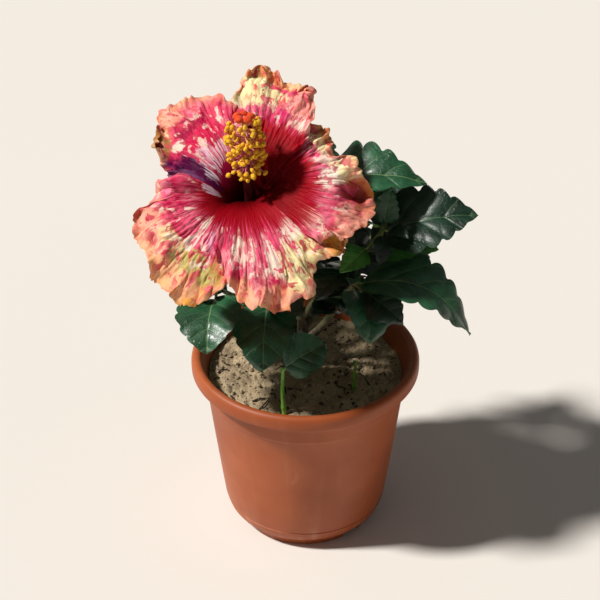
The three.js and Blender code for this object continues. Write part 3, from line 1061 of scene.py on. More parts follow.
@dataclass(frozen=True)
class PetalSkin(Finish):
    """A petal's face: dark throat deepened with painted shade, crimson eye that breaks into rays, blots and a
    warm margin.
    """

    label: str
    first: float
    eye: float = 36.0
    daubs: tuple[Daub, ...] = ()
    # Patches laid last, over the eye; on some petals they are painted shade, sheen and glints.
    glazes: tuple[Daub, ...] = ()
    spotted: float = 0.36
    blotched: float = 0.34
    pale: Point = (34.0, 62.0, 0.6)
    seed: float = 0.0
    body: Colour = "#bb1444"
    light: Colour = "#dc4a6c"
    rim: Colour = "#efae92"
    ochre: Colour = "#dca058"

    def lay(self, board: Board, own: object, colour: object, daubs: tuple[Daub, ...]) -> object:
        """Lays patches over a colour.

        Args:
            board: The material's board.
            own: The petal's own chart, shifted by its seed.
            colour: The colour under the patches.
            daubs: The patches, first one lowest.

        Returns:
            The colour with its patches.
        """
        silk = board.ease(board.noise(board.placed(own, (1.6, 0.14, 1)), 40.0, 3.0, 0.6), 0.4, 0.6)
        for daub in daubs:
            centre = ((daub.heading - self.first) / 100, daub.distance / 100)
            mask = SoftPatch().use(
                board, Vector=own, Centre=(centre[0] + self.seed, centre[1] + self.seed * 0.7, 0.0),
                Size=(daub.breadth / 100, daub.depth / 100, 1.0), Fray=daub.fray)["Mask"]
            if daub.fray > 1.1:
                mask = board.product(mask, silk)
            colour = board.over(colour, daub.colour, mask, daub.strength)
        return colour

    def paint(self, board: Board) -> None:
        """Lays the material's nodes.

        Args:
            board: The material's board.
        """
        chart = board.chart("Petal")
        _, out, _ = board.split(chart)
        distance = board.product(out, 100.0)
        margin = board.add("ShaderNodeAttribute", attribute_name="margin").outputs["Fac"]
        own = board.placed(chart, shift=(self.seed, self.seed * 0.7, 0))
        rays = Rays().use(board, Vector=own, Share=0.5, Border=0.05)
        soft = board.noise(own, 7.0, 4.0, 0.65, 0.6)
        fresh = board.blend(board.ease(soft, 0.4, 0.6), self.body, self.light)
        colour = self.lay(board, own, fresh, self.daubs)
        beyond = board.ease(distance, self.eye - 2, self.eye + 8)
        lean = board.placed(own, (1.0, 0.6, 1), (0.4, 0.9, 0))
        spots = blots(board, lean, 15.0, self.spotted, 0.03)
        within = board.product(beyond, board.ease(distance, 74.0, 60.0), 0.8)
        colour = board.over(colour, "#f3d8c4", spots, within)
        blotch = blots(board, board.placed(own, (1.3, 0.7, 1), (3.1, 1.7, 0)), 17.0, self.blotched, 0.02)
        colour = board.over(colour, fresh, blotch, beyond, 0.8)
        flecks = blots(board, board.placed(own, (1.4, 0.6, 1), (1.1, 4.7, 0)), 26.0, 0.15, 0.02)
        colour = board.over(colour, "#a80b35", flecks, beyond, 0.75)
        edge = board.line(board.maths("SUBTRACT", soft, 0.5), 0.3, margin)
        outer = board.product(board.ease(edge, 0.84, 1.04, 0.0, 0.6), board.ease(distance, 50.0, 66.0))
        warm = board.blend(board.ease(soft, 0.42, 0.6), self.ochre, self.rim)
        colour = board.blend(outer, colour, board.over(warm, "#f2cfa0", blotch, 0.55))
        lines = Rays().use(board, Vector=board.placed(own, (0.8, 2.4, 1), (2.3, 0.4, 0)), Share=0.34,
                           Border=0.04)["Mask"]
        colour = board.over(colour, "#c8503f", lines, board.ease(distance, 54.0, 66.0), 0.5)
        first, last, strength = self.pale
        ring = board.product(board.ease(distance, first - 6, first + 6),
                             board.ease(distance, last + 10, last - 6))
        gaps = board.maths("SUBTRACT", 1.0, rays["Mask"])
        colour = board.over(colour, "#f0ccd0", ring, gaps, strength)
        frayed = board.line(board.maths("SUBTRACT", rays["Fine"], 0.5), 36.0, distance)
        colour = board.blend(board.ease(frayed, self.eye + 9, self.eye - 1, 0.0, 0.95), colour, "#9e0210")
        colour = board.blend(board.ease(frayed, self.eye + 2, self.eye - 18), colour, "#6c0005")
        colour = self.lay(board, own, colour, self.glazes)
        # Nearly black towards the claw: painted shade in the throat, laid over the eye's own deep red.
        colour = board.blend(board.ease(distance, 24.0, 8.0, 0.0, 0.85), colour, "#2a0004")
        crinkle = board.noise(board.placed(own, (1.5, 0.55, 1)), 42.0, 4.0, 0.6)
        height = board.line(rays["Fine"], 0.5, crinkle)
        rough = board.line(crinkle, 0.2, 0.4)
        board.surface(colour, rough, 0.08, height, 0.7, 1.0)


@dataclass(frozen=True)
class PetalBack(Finish):
    """A petal's reverse: peach to orange-brown with pale veins."""

    label: str
    body: Colour = "#d98a5c"
    warm: Colour = "#b86a38"
    base: Colour = "#9c1236"

    def paint(self, board: Board) -> None:
        """Lays the material's nodes.

        Args:
            board: The material's board.
        """
        chart = board.chart("Petal")
        _, out, _ = board.split(chart)
        rays = Rays().use(board, Vector=chart, Share=0.45, Border=0.1)
        soft = board.noise(board.placed(chart, (1.2, 1, 1)), 5.0, 3.0, 0.6, 0.3)
        colour = board.blend(board.ease(soft, 0.35, 0.65), self.warm, self.body)
        colour = board.blend(board.ease(out, 0.6, 0.36, 0.0, 0.95), colour, self.base)
        colour = board.over(colour, "#f3d3a8", rays["Mask"], 0.35)
        rough = board.line(soft, 0.2, 0.42)
        board.surface(colour, rough, 0.22, rays["Fine"], 0.5, 0.8)


@dataclass(frozen=True)
class Velvet(Finish):
    """Fine-grained soft surface, as of pollen, stigma pads and the column."""

    label: str
    main: Colour
    dark: Colour
    scale: float = 600.0
    height: float = 0.9

    def paint(self, board: Board) -> None:
        """Lays the material's nodes.

        Args:
            board: The material's board.
        """
        place = board.place()
        clouds = board.noise(place, self.scale * 0.25, 3.0, 0.6)
        grain = board.cells(place, self.scale)
        colour = board.blend(board.ease(clouds, 0.35, 0.65), self.dark, self.main)
        colour = board.blend(board.ease(grain, 0.35, 0.75, 0.0, 0.5), colour, self.dark)
        rough = board.ease(grain, 0.1, 0.7, 0.5, 0.8)
        raised = board.maths("SUBTRACT", 1.0, grain)
        board.surface(colour, rough, 0.3, raised, self.height, 0.5, Sheen_Weight=0.15)


@dataclass(frozen=True)
class ColumnSkin(Finish):
    """The column's skin: nearly black-red at its foot, rose and then straw higher up."""

    label: str = "column_skin"
    foot: Colour = "#3d0008"
    rose: Colour = "#c2456a"
    straw: Colour = "#dfb070"

    def paint(self, board: Board) -> None:
        """Lays the material's nodes.

        Args:
            board: The material's board.
        """
        place = board.place()
        _, _, height = board.split(place)
        fine = board.noise(place, 500.0, 3.0, 0.6)
        level = board.line(fine, 0.008, height)
        colour = board.blend(board.ease(level, 0.315, 0.33), self.foot, self.rose)
        colour = board.blend(board.ease(level, 0.332, 0.346), colour, self.straw)
        board.surface(colour, board.ease(fine, 0.3, 0.7, 0.42, 0.6), 0.3, fine, 0.3, 0.3)


@dataclass(frozen=True)
class FloorPaint(Finish):
    """A plain pale studio floor."""

    label: str = "floor_paint"
    pale: Colour = "#dcd7d0"

    def paint(self, board: Board) -> None:
        """Lays the material's nodes.

        Args:
            board: The material's board.
        """
        clouds = board.noise(board.place(), 3.0, 2.0)
        colour = board.blend(board.ease(clouds, 0.2, 0.8, 0.0, 0.06), self.pale, "#cfc8bd")
        board.surface(colour, 0.75, 0.2)


BARK_GREEN = StemSkin("twig_skin", "#4f6a32", "#6b4a36", 0.35, 0.45)
STALK_GREEN = StemSkin("leaf_stalk", "#7c9a4e", "#8a6a48", 0.15, 0.4)
SHOOT_GREEN = StemSkin("young_stem", "#6fb23a", "#a6cf5c", 0.3, 0.38)
SEPAL_GREEN = StemSkin("sepal_skin", "#5f8438", "#9cae58", 0.3, 0.5)


class Tone(Enum):
    """How dark a leaf is, with its upper and under finish. The darkest tone is the green finish made darker to
    paint shade on leaves in shade; the brightest is the own colour of young leaves and bracts, and on some grown
    leaves it paints light shining through.
    """

    # Painted shade: a darker copy of the green leaf finish.
    DEEP = (
        LeafSkin("leaf_deep", "#143322", "#0b2015", "#4e7049", 0.3),
        LeafSkin("leaf_deep_under", "#4a6a45", "#3d5c3b", "#87a06f", 0.55, True),
    )
    GREEN = (
        LeafSkin("leaf_green", "#235938", "#133f26", "#7d9a66", 0.3),
        LeafSkin("leaf_green_under", "#557a48", "#47693d", "#93ad74", 0.55, True),
    )
    # Own colour of young leaves and bracts; on some grown leaves, painted light shining through.
    BRIGHT = (
        LeafSkin("leaf_bright", "#3a8a24", "#2a6f1c", "#a4cf62", 0.34),
        LeafSkin("leaf_bright_under", "#5f9a40", "#528a38", "#a9cc78", 0.5, True),
    )


# ---------------- pot and soil
@dataclass
class Pot:
    """The pot: a turned shell with a rolled rim, notches in its foot and drain holes."""

    height: float = 143.0
    sides: int = 160
    notches: int = 4
    notch: Pair = (14.0, 5.4)
    first_notch: float = -49.0
    notch_at: float = 55.0
    drains: int = 4
    drain: Pair = (30.0, 4.0)

    def outside(self) -> list[Pair]:
        """Radius and height of the outer wall, from the middle of the underside up.

        Returns:
            The points of the profile.
        """
        top = self.height
        return [
            (0, 1), (19, 1), (20.2, 0), (52, 0), (52.7, 0.25), (53, 1), (53.8, 4.8), (54.2, 5.6),
            (55.8, 6.5), (57.9, 8.4), (59.7, 11.2), (61, 15), (61.6, 17.2), (61.3, 17.5), (62.3, 20),
            (64.7, 38.5), (67, 57), (69.3, 75.5), (71.5, 94), (73.7, 112.2), (74.1, 113.2), (74.8, 114),
            (75, 115), (75.8, 122), (76.5, 128.8), (77.2, 130.5), (79, 131.1), (83.2, 131.3),
            (84.4, 131.8), (84.9, 132.8), (85, 134), (85, 138.4), (84.6, 140.4), (83.7, 141.9),
            (82.6, 142.7), (81.3, top), (79.9, top - 0.2), (78.7, top - 0.8), (77.7, top - 1.9),
            (77, top - 3.6),
        ]

    def inside(self) -> list[Pair]:
        """Radius and height of the inner wall, from the rim down to the middle of the floor."""
        return [(76, 136.5), (74.3, 131.6), (72.7, 127), (69.3, 100), (66.9, 94), (57, 13), (54, 8), (0, 8)]

    def cutter(self, radius: float, box: bool, angle: float) -> Piece:
        """A block or a rod that is taken out of the foot.

        Args:
            radius: How far from the axis it stands.
            box: True for a notch, False for a drain hole.
            angle: Its heading in degrees.

        Returns:
            The cutter.
        """
        heading = math.radians(angle)
        at = (radius * MM * math.cos(heading), radius * MM * math.sin(heading), 0)
        if box:
            bpy.ops.mesh.primitive_cube_add(size=1, location=at, rotation=(0, 0, heading))
            cutter = bpy.context.object
            cutter.scale = (16 * MM, self.notch[0] * MM, 2 * self.notch[1] * MM)
            bpy.ops.object.transform_apply(location=False, rotation=False, scale=True)
            rounding = cutter.modifiers.new("rounding", "BEVEL")
            rounding.width, rounding.segments = 1.6 * MM, 4
            bpy.ops.object.modifier_apply(modifier="rounding")
        else:
            bpy.ops.mesh.primitive_cylinder_add(
                vertices=32, radius=self.drain[1] * MM, depth=30 * MM, location=at)
            cutter = bpy.context.object
        return cutter

    def build(self) -> Piece:
        """Turns the wall, cuts the foot and dresses it.

        Returns:
            The pot.
        """
        profile = [*self.outside(), *self.inside()]
        mesh = bpy.data.meshes.new("pot_shell")
        points = [(radius * MM, 0.0, height * MM) for radius, height in profile]
        mesh.from_pydata(points, [(i, i + 1) for i in range(len(points) - 1)], [])
        shell = shown("pot_shell", mesh)
        select_only(shell)
        bpy.ops.object.mode_set(mode="EDIT")
        bpy.ops.mesh.select_all(action="SELECT")
        bpy.ops.mesh.spin(steps=self.sides, angle=TURN, center=(0, 0, 0), axis=(0, 0, 1))
        bpy.ops.mesh.select_all(action="SELECT")
        bpy.ops.mesh.remove_doubles(threshold=1e-6)
        bpy.ops.mesh.normals_make_consistent(inside=False)
        bpy.ops.object.mode_set(mode="OBJECT")
        cuts = [(self.notch_at, True, self.first_notch + 360 / self.notches * i) for i in range(self.notches)]
        cuts += [(self.drain[0], False, 45 + 360 / self.drains * i) for i in range(self.drains)]
        for radius, box, angle in cuts:
            cutter = self.cutter(radius, box, angle)
            select_only(shell)
            cut = shell.modifiers.new("cut", "BOOLEAN")
            cut.operation, cut.object, cut.solver = "DIFFERENCE", cutter, "EXACT"
            bpy.ops.object.modifier_apply(modifier="cut")
            bpy.data.meshes.remove(cutter.data)
        bpy.ops.object.shade_smooth_by_angle(angle=math.radians(32))
        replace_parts(shell, "pot")
        return dressed(shell, [PotPlastic()])


def select_only(piece: Piece) -> None:
    """Makes the piece the only one selected, and the active one."""
    bpy.ops.object.select_all(action="DESELECT")
    piece.select_set(True)
    bpy.context.view_layer.objects.active = piece


@dataclass
class Soil:
    """The soil in the pot, its crumbs and the dry bits that lie on it."""

    top: float = 127.0
    radius: float = 72.4
    hollow: float = 1.4
    foot: Pair = (0.0, 6.0)
    crumbs: int = 1500

    def height(self, x: Array, y: Array) -> Array:
        """Height of the surface: shallow hollows, and fine relief between its crumbs.

        Args:
            x: Places to the right.
            y: Places to the back.

        Returns:
            The heights.
        """
        waves = np.sin(x * 0.16 + 1.2) + np.sin(y * 0.21 + x * 0.07) + np.sin((x - y) * 0.11)
        from_foot = smooth(np.hypot(x - self.foot[0], y - self.foot[1]), 12, 30)
        flat = np.stack([x, y], -1)
        relief = 0.75 * Ripple(3, 11, 4).at(flat) + 0.3 * np.abs(Ripple(4, 2.6, 2).at(flat))
        clods = 1.1 * Ripple(6, 38, 2).at(flat) * (1 - smooth(np.hypot(x, y), 52, 68))
        return self.top - self.hollow / 3 * np.abs(waves) * from_foot + relief * 0.8 + clods

    def bed(self) -> Piece:
        """The soil itself, down to the pot's floor.

        Returns:
            The soil.
        """
        sides, rings = 260, 92
        angles = np.arange(sides) / sides * TURN
        radii = np.linspace(0.4, self.radius, rings)
        x, y = radii[:, None] * np.cos(angles), radii[:, None] * np.sin(angles)
        surface = np.stack([x, y, self.height(x, y)], -1)
        below = [(69.0, 100.0), (66.6, 94.0), (56.7, 13.0), (53.4, 8.3), (0.4, 8.3)]
        skirt = [np.stack([r * np.cos(angles), r * np.sin(angles), angles * 0 + z], -1) for r, z in below]
        points = np.concatenate([surface, np.array(skirt)]).reshape(-1, 3)
        rows = rings + len(below)
        middle, floor = len(points), len(points) + 1
        points = np.vstack([points, [0, 0, surface[0, :, 2].mean()], [0, 0, 8.3]])
        ring = np.arange(sides)
        following = (ring + 1) % sides
        last = (rows - 1) * sides
        caps = [np.stack([following, ring, ring * 0 + middle], -1),
                np.stack([ring + last, following + last, ring * 0 + floor], -1)]
        heap = Heap()
        heap.add(points, np.concatenate([ring_faces(rows - 1, sides), *caps]))
        piece = heap.build("soil_bed", [Earth()], "potting_soil")
        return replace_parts(piece, "soil")

    def grit(self) -> Piece:
        """Crumbs of several kinds that lie on the soil, joined.

        Returns:
            The crumbs.
        """
        dice, heap = Dice(77), Heap()
        for number in range(self.crumbs):
            radius = self.radius * math.sqrt(dice.roll()) * 0.975
            angle = dice.roll(0, TURN)
            x, y = radius * math.cos(angle), radius * math.sin(angle)
            size = 0.45 + 1.5 * dice.roll() ** 4
            level = float(self.height(np.array(x), np.array(y)))
            kind = (0, 0, 0, 1, 1, 2)[int(dice.roll(0, 5.99))]
            radii = size * np.array([dice.roll(0.7, 1.2), dice.roll(0.7, 1.2), dice.roll(0.5, 0.9)])
            axis = [dice.roll(-1, 1), dice.roll(-1, 1), 1.2]
            blob(heap, [x, y, level + size * 0.25], radii, axis, kind, 3, 6, 0.16, number)
        finishes = [
            Earth("crumb_sand", scale=1.6),
            Earth("crumb_dark", "#5f5142", "#463b30", "#1d1814", "#8d7d69", 1.6),
            Earth("crumb_pale", "#c9bda9", "#a99c88", "#6a5d4d", "#ded5c5", 1.6),
        ]
        return heap.build("soil_crumbs", finishes, "potting_soil")

    def litter(self) -> Piece:
        """Dry twiglets and leaf bits on the soil, joined.

        Returns:
            The dry bits.
        """
        dice, heap = Dice(91), Heap()
        spots = [(-30, -44, 62, 17), (-33, -38, 18, 12), (-24, -37, 120, 9), (-38, -60, 150, 7),
                 (26, -22, -50, 13), (29, -29, -95, 7), (-8, -36, -80, 5)]
        while len(spots) < 26:
            angle, radius = dice.roll(0, TURN), 68 * math.sqrt(dice.roll())
            spots.append((radius * math.cos(angle), radius * math.sin(angle), dice.roll(0, 360),
                          dice.roll(3, 9)))
        for x, y, heading, length in spots:
            way = np.array([math.cos(math.radians(heading)), math.sin(math.radians(heading))])
            flat = np.array([x, y]) + np.outer([-0.5, -0.1, 0.5], way) * length
            flat[1] += way[::-1] * [1, -1] * length * dice.roll(-0.15, 0.15)
            level = self.height(flat[:, 0], flat[:, 1]) + [0.5, 1.4, 0.3]
            thick = dice.roll(0.35, 0.75)
            tube(heap, Curve(np.column_stack([flat, level])),
                 lambda way, thick=thick: thick * (1 - 0.6 * way), 6, 8,
                 relief=lambda ring, _: 0.16 * Ripple(5, 2.2, 2).at(ring))
        finish = Bark("dry_bits", "#3a2b20", "#1a1310", "#5e4937", "#33261c")
        return heap.build("soil_litter", [finish], "potting_soil")


# ---------------- trunk and boughs
@dataclass(frozen=True)
class Limb:
    """A bough's axis and its radius at both ends."""

    node: str
    path: Path
    radius: Pair

    def radius_at(self, way: Array) -> Array:
        """The bough's radius, with a collar where it leaves the trunk."""
        return mixed(*self.radius, way) + 0.9 * np.exp(-way / 0.06)


LIMBS: tuple[Limb, ...] = (
    Limb("bough_leader", ((-8, 8, 184), (-18, 6, 212), (-29, 2, 236)), (4.4, 2.8)),
    Limb("bough_upper", ((-7, 8, 174), (4, 20, 200), (1, 21, 240)), (2.8, 2)),
    Limb("bough_right", ((-5, 7.5, 166), (14, 5, 193), (36, 2, 222)), (3.2, 2.2)),
    Limb("bough_right_low", ((-2, 6.8, 146), (14, -3, 170), (26, -12, 200)), (3.2, 2.2)),
    Limb("bough_front", ((-1, 6.5, 139), (-14, -6, 156), (-24, -16, 178)), (3, 2)),
    Limb("bough_left", ((-4, 7, 156), (-28, 4, 168), (-52, 0, 192)), (3.2, 2.1)),
    Limb("bough_back", ((-3, 7, 146), (-4, 24, 172), (0, 38, 205)), (3.2, 2.2)),
    Limb("bough_back_left", ((-6, 8, 168), (-26, 20, 190), (-45, 32, 215)), (3.1, 2.1)),
    Limb("bough_back_right", ((-3.5, 7, 157), (17, 18, 178), (38, 30, 200)), (3, 2.1)),
)
LIMB_BY_NODE = {limb.node: limb for limb in LIMBS}


@dataclass
class Framework:
    """The trunk and its boughs in one skin of bark."""

    path: Path = ((0, 6, 122), (-3, 7, 150), (-8, 8, 184))
    radius: Pair = (7.2, 5.0)
    flare: float = 3.4
    relief: float = 0.42

    def bark(self, ring: Array, ways: Array) -> Array:
        """How far the bark stands out: long ridges and rings of old leaf scars.

        Args:
            ring: Points of the limb.
            ways: The ways along it; not used.

        Returns:
            The heights.
        """
        ridges = Ripple(11, 3.2, 2).at(ring * [1, 1, 0.25])
        scars = np.exp(-(((ring[..., 2] + 2 * Ripple(12, 30, 1).at(ring)) % 11.0 - 5.5) / 0.8) ** 2)
        return self.relief * (0.7 * ridges + 0.9 * scars)

    def build(self) -> Piece:
        """Makes trunk and boughs.

        Returns:
            The bark-covered limbs.
        """
        heap = Heap()
        low, high = self.radius

        def trunk_radius(way: Array) -> Array:
            """The trunk's radius, flared at its foot."""
            return mixed(low, high, way) + self.flare * np.maximum(0, 1 - way / 0.3) ** 2

        tube(heap, Curve(self.path), trunk_radius, 40, 80, relief=self.bark)
        for limb in LIMBS:
            tube(heap, Curve(limb.path), limb.radius_at, 22, 56,
                 relief=lambda ring, ways: 0.55 * self.bark(ring, ways))
        piece = heap.build("trunk_and_boughs", [Bark()], "bark")
        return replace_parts(piece, "trunk", *(limb.node for limb in LIMBS))


# ---------------- leaves
SPOTS = np.array([[0, 0.1], [0, 0.5], [0, 1], [-1, 0.4], [1, 0.4], [-1, 0.75], [1, 0.75]])


@dataclass(frozen=True)
class Leaf:
    """A leaf: its stalk's root, its tip, its blade's length and width, its turn and arch."""

    root: Array
    tip: Array
    size: Pair
    turn: float
    arch: float
    tone: Tone = Tone.GREEN
    blunt: float = 0.0
    pairs: ClassVar[float] = 4.0

    @property
    def length(self) -> float:
        """The blade's length."""
        return self.size[0]

    @property
    def width(self) -> float:
        """The blade's width."""
        return self.size[1]

    @property
    def base(self) -> Array:
        """Where the blade starts, in line with its root and its tip."""
        return self.tip + unit(self.root - self.tip) * self.length

    @property
    def spots(self) -> Array:
        """Points of the blade that stand for it where its distance to others counts."""
        return self.spot(SPOTS[:, 0], SPOTS[:, 1])

    @property
    def axes(self) -> tuple[Array, Array, Array]:
        """Along the midrib, to the side, and up from the blade."""
        along = unit(self.tip - self.base)
        side = turned_about(unit(np.cross(along, [0, 0, 1.0])), along, self.turn)
        return along, side, np.cross(side, along)

    def half(self, way: Array) -> Array:
        """Half the blade's width at ways along it, without its teeth."""
        belly = np.abs(np.sin(math.pi * way ** (0.72 + 0.16 * self.blunt)))
        return self.width / 2 * belly ** (0.8 - 0.28 * self.blunt)

    def spot(self, across: Array, way: Array) -> Array:
        """Points of the blade's plain middle surface.

        Args:
            across: From -1 at the left margin to 1 at the right.
            way: From 0 at the base to 1 at the tip.

        Returns:
            The points.
        """
        across, way = np.broadcast_arrays(np.asarray(across, float), np.asarray(way, float))
        out = across * self.half(way)
        return self.lifted(out, way, 0 * out)

    def lifted(self, out: Array, way: Array, extra: Array) -> Array:
        """Points of the blade at a distance from its midrib, raised by something extra.

        Args:
            out: Distances from the midrib.
            way: Ways along the blade.
            extra: The rise.

        Returns:
            The points.
        """
        along, side, up = self.axes
        rise = self.arch * self.length * (4 * way * (1 - way) - 0.18 * way**2) + 0.22 * np.abs(out)
        return (self.base + along * (self.length * way)[..., None] + side * out[..., None]
                + up * (rise + extra)[..., None])

    def phase(self, out: Array, way: Array) -> Array:
        """Counts side veins: whole numbers lie on a vein."""
        share = np.abs(out) / self.width
        return self.pairs * (way - 0.62 * share - 0.5 * share**2) + 0.35

    def blade(self, heap: Heap, upper: int, rows: int, columns: int) -> None:
        """Adds the blade, toothed, with sunk veins and a wavy margin.

        Args:
            heap: Where it goes.
            upper: The slot of its upper face; the next one is its under face.
            rows: Vertices along it.
            columns: Vertices across it.
        """
        way, across = np.meshgrid(np.linspace(0, 1, rows), np.linspace(-1, 1, columns), indexing="ij")
        plain = self.half(way)
        crest = np.abs(np.cos(math.pi * self.phase(plain, way))) ** 0.7
        teeth = (0.26 - 0.16 * self.blunt) * (1 - smooth(way, 0.93, 1.0) * self.blunt)
        toothed = plain * (1 + teeth * (crest - 0.75) * smooth(way, 0.2, 0.4))
        out = across * toothed
        off = np.abs(self.phase(out, way) - np.round(self.phase(out, way)))
        inner = 1 - np.abs(across) ** 3
        quilt = 0.021 * self.width * np.sin(math.pi * np.clip(off * 2, 0, 1) / 2) ** 0.7 * inner
        rib = -0.012 * self.width * np.exp(-((np.abs(out) / (0.03 * self.width)) ** 2))
        shape = Ripple(int(self.length * 7 + self.width * 3), 0.9, 2)
        wave = 0.05 * self.width * np.abs(across) ** 2.5 * shape.at(np.stack([way * 1.4, across * 0.3], -1))
        middle = self.lifted(out, way, quilt + rib + wave)
        thick = 0.28 * (1 - np.abs(across) ** 6) * np.where((way > 0) & (way < 1), 1, 0)
        up = self.axes[2]
        top, bottom = (middle + up * (sign * thick)[..., None] for sign in (1, -1))
        chart = np.stack([0.5 + out / self.width, way], -1)
        heap.sheet(top, bottom, (upper, upper + 1), chart, (self.width, self.length))

    def stalk(self, heap: Heap, thick: float) -> None:
        """Adds the stalk, from the twig to a fifth of the way under the blade.

        Args:
            heap: Where it goes.
            thick: Its radius near the blade.
        """
        up = self.axes[2]
        under = [self.spot(0.0, v) - up * (0.8 * thick) for v in (0.02, 0.2)]
        sag = (self.root + under[0]) / 2 + np.array([0, 0, -0.05 * norm(self.root - under[0])])
        path = Curve([self.root, sag, *under])
        tube(heap, path, lambda way: thick * (1.25 - 0.45 * way + 0.5 * np.exp(-way / 0.04)), 8, 14, slot=1)


@dataclass(frozen=True)
class LeafPlan:
    """One listed leaf: the way along the stem, its tip, size, turn, tone and arch."""

    at: float
    tip: Point
    size: Pair
    turn: float
    # Listed leaves take the darkest tone, with its painted shade, unless another is given.
    tone: Tone = Tone.DEEP
    arch: float = 0.1
    blunt: float = 0.0

    def leaf(self, stem: Curve) -> Leaf:
        """The leaf, on its stem."""
        return Leaf(stem.along(self.at), np.array(self.tip, float), self.size, self.turn, self.arch,
                           self.tone, self.blunt)


@dataclass(frozen=True)
class Space:
    """The space that grown leaves keep to: headings about the trunk, reach and height."""

    sector: Pair
    reach: float
    height: Pair

    def holds(self, spots: Array) -> bool:
        """True where every spot is inside.

        Args:
            spots: The points.

        Returns:
            Whether they all are.
        """
        east, north = spots[:, 0], spots[:, 1] - 6
        heading = (np.degrees(np.arctan2(north, east)) + 360) % 360
        inside = (heading > self.sector[0]) & (heading < self.sector[1])
        inside &= np.hypot(east, north) < self.reach
        return bool(np.all(inside & (spots[:, 2] > self.height[0]) & (spots[:, 2] < self.height[1])))


@dataclass(frozen=True)
class Twig:
    """A twig from its root to its end, with the leaf at its tip."""

    root: Array
    end: Array
    leaf: Leaf
    thick: Pair


def clear_of_limbs(spots: Array, apart: float = 4.0) -> bool:
    """True where no spot is nearer than `apart` to a bough's axis.

    Args:
        spots: Points of a leaf.
        apart: The distance.

    Returns:
        Whether none is.
    """
    for limb in LIMBS:
        path = np.array(limb.path, float)
        for start, end in zip(path[:-1], path[1:]):
            way = end - start
            share = np.clip((spots - start) @ way / (way @ way), 0, 1)
            if np.min(norm(spots - start - share[:, None] * way, axis=1)) <= apart:
                return False
    return True


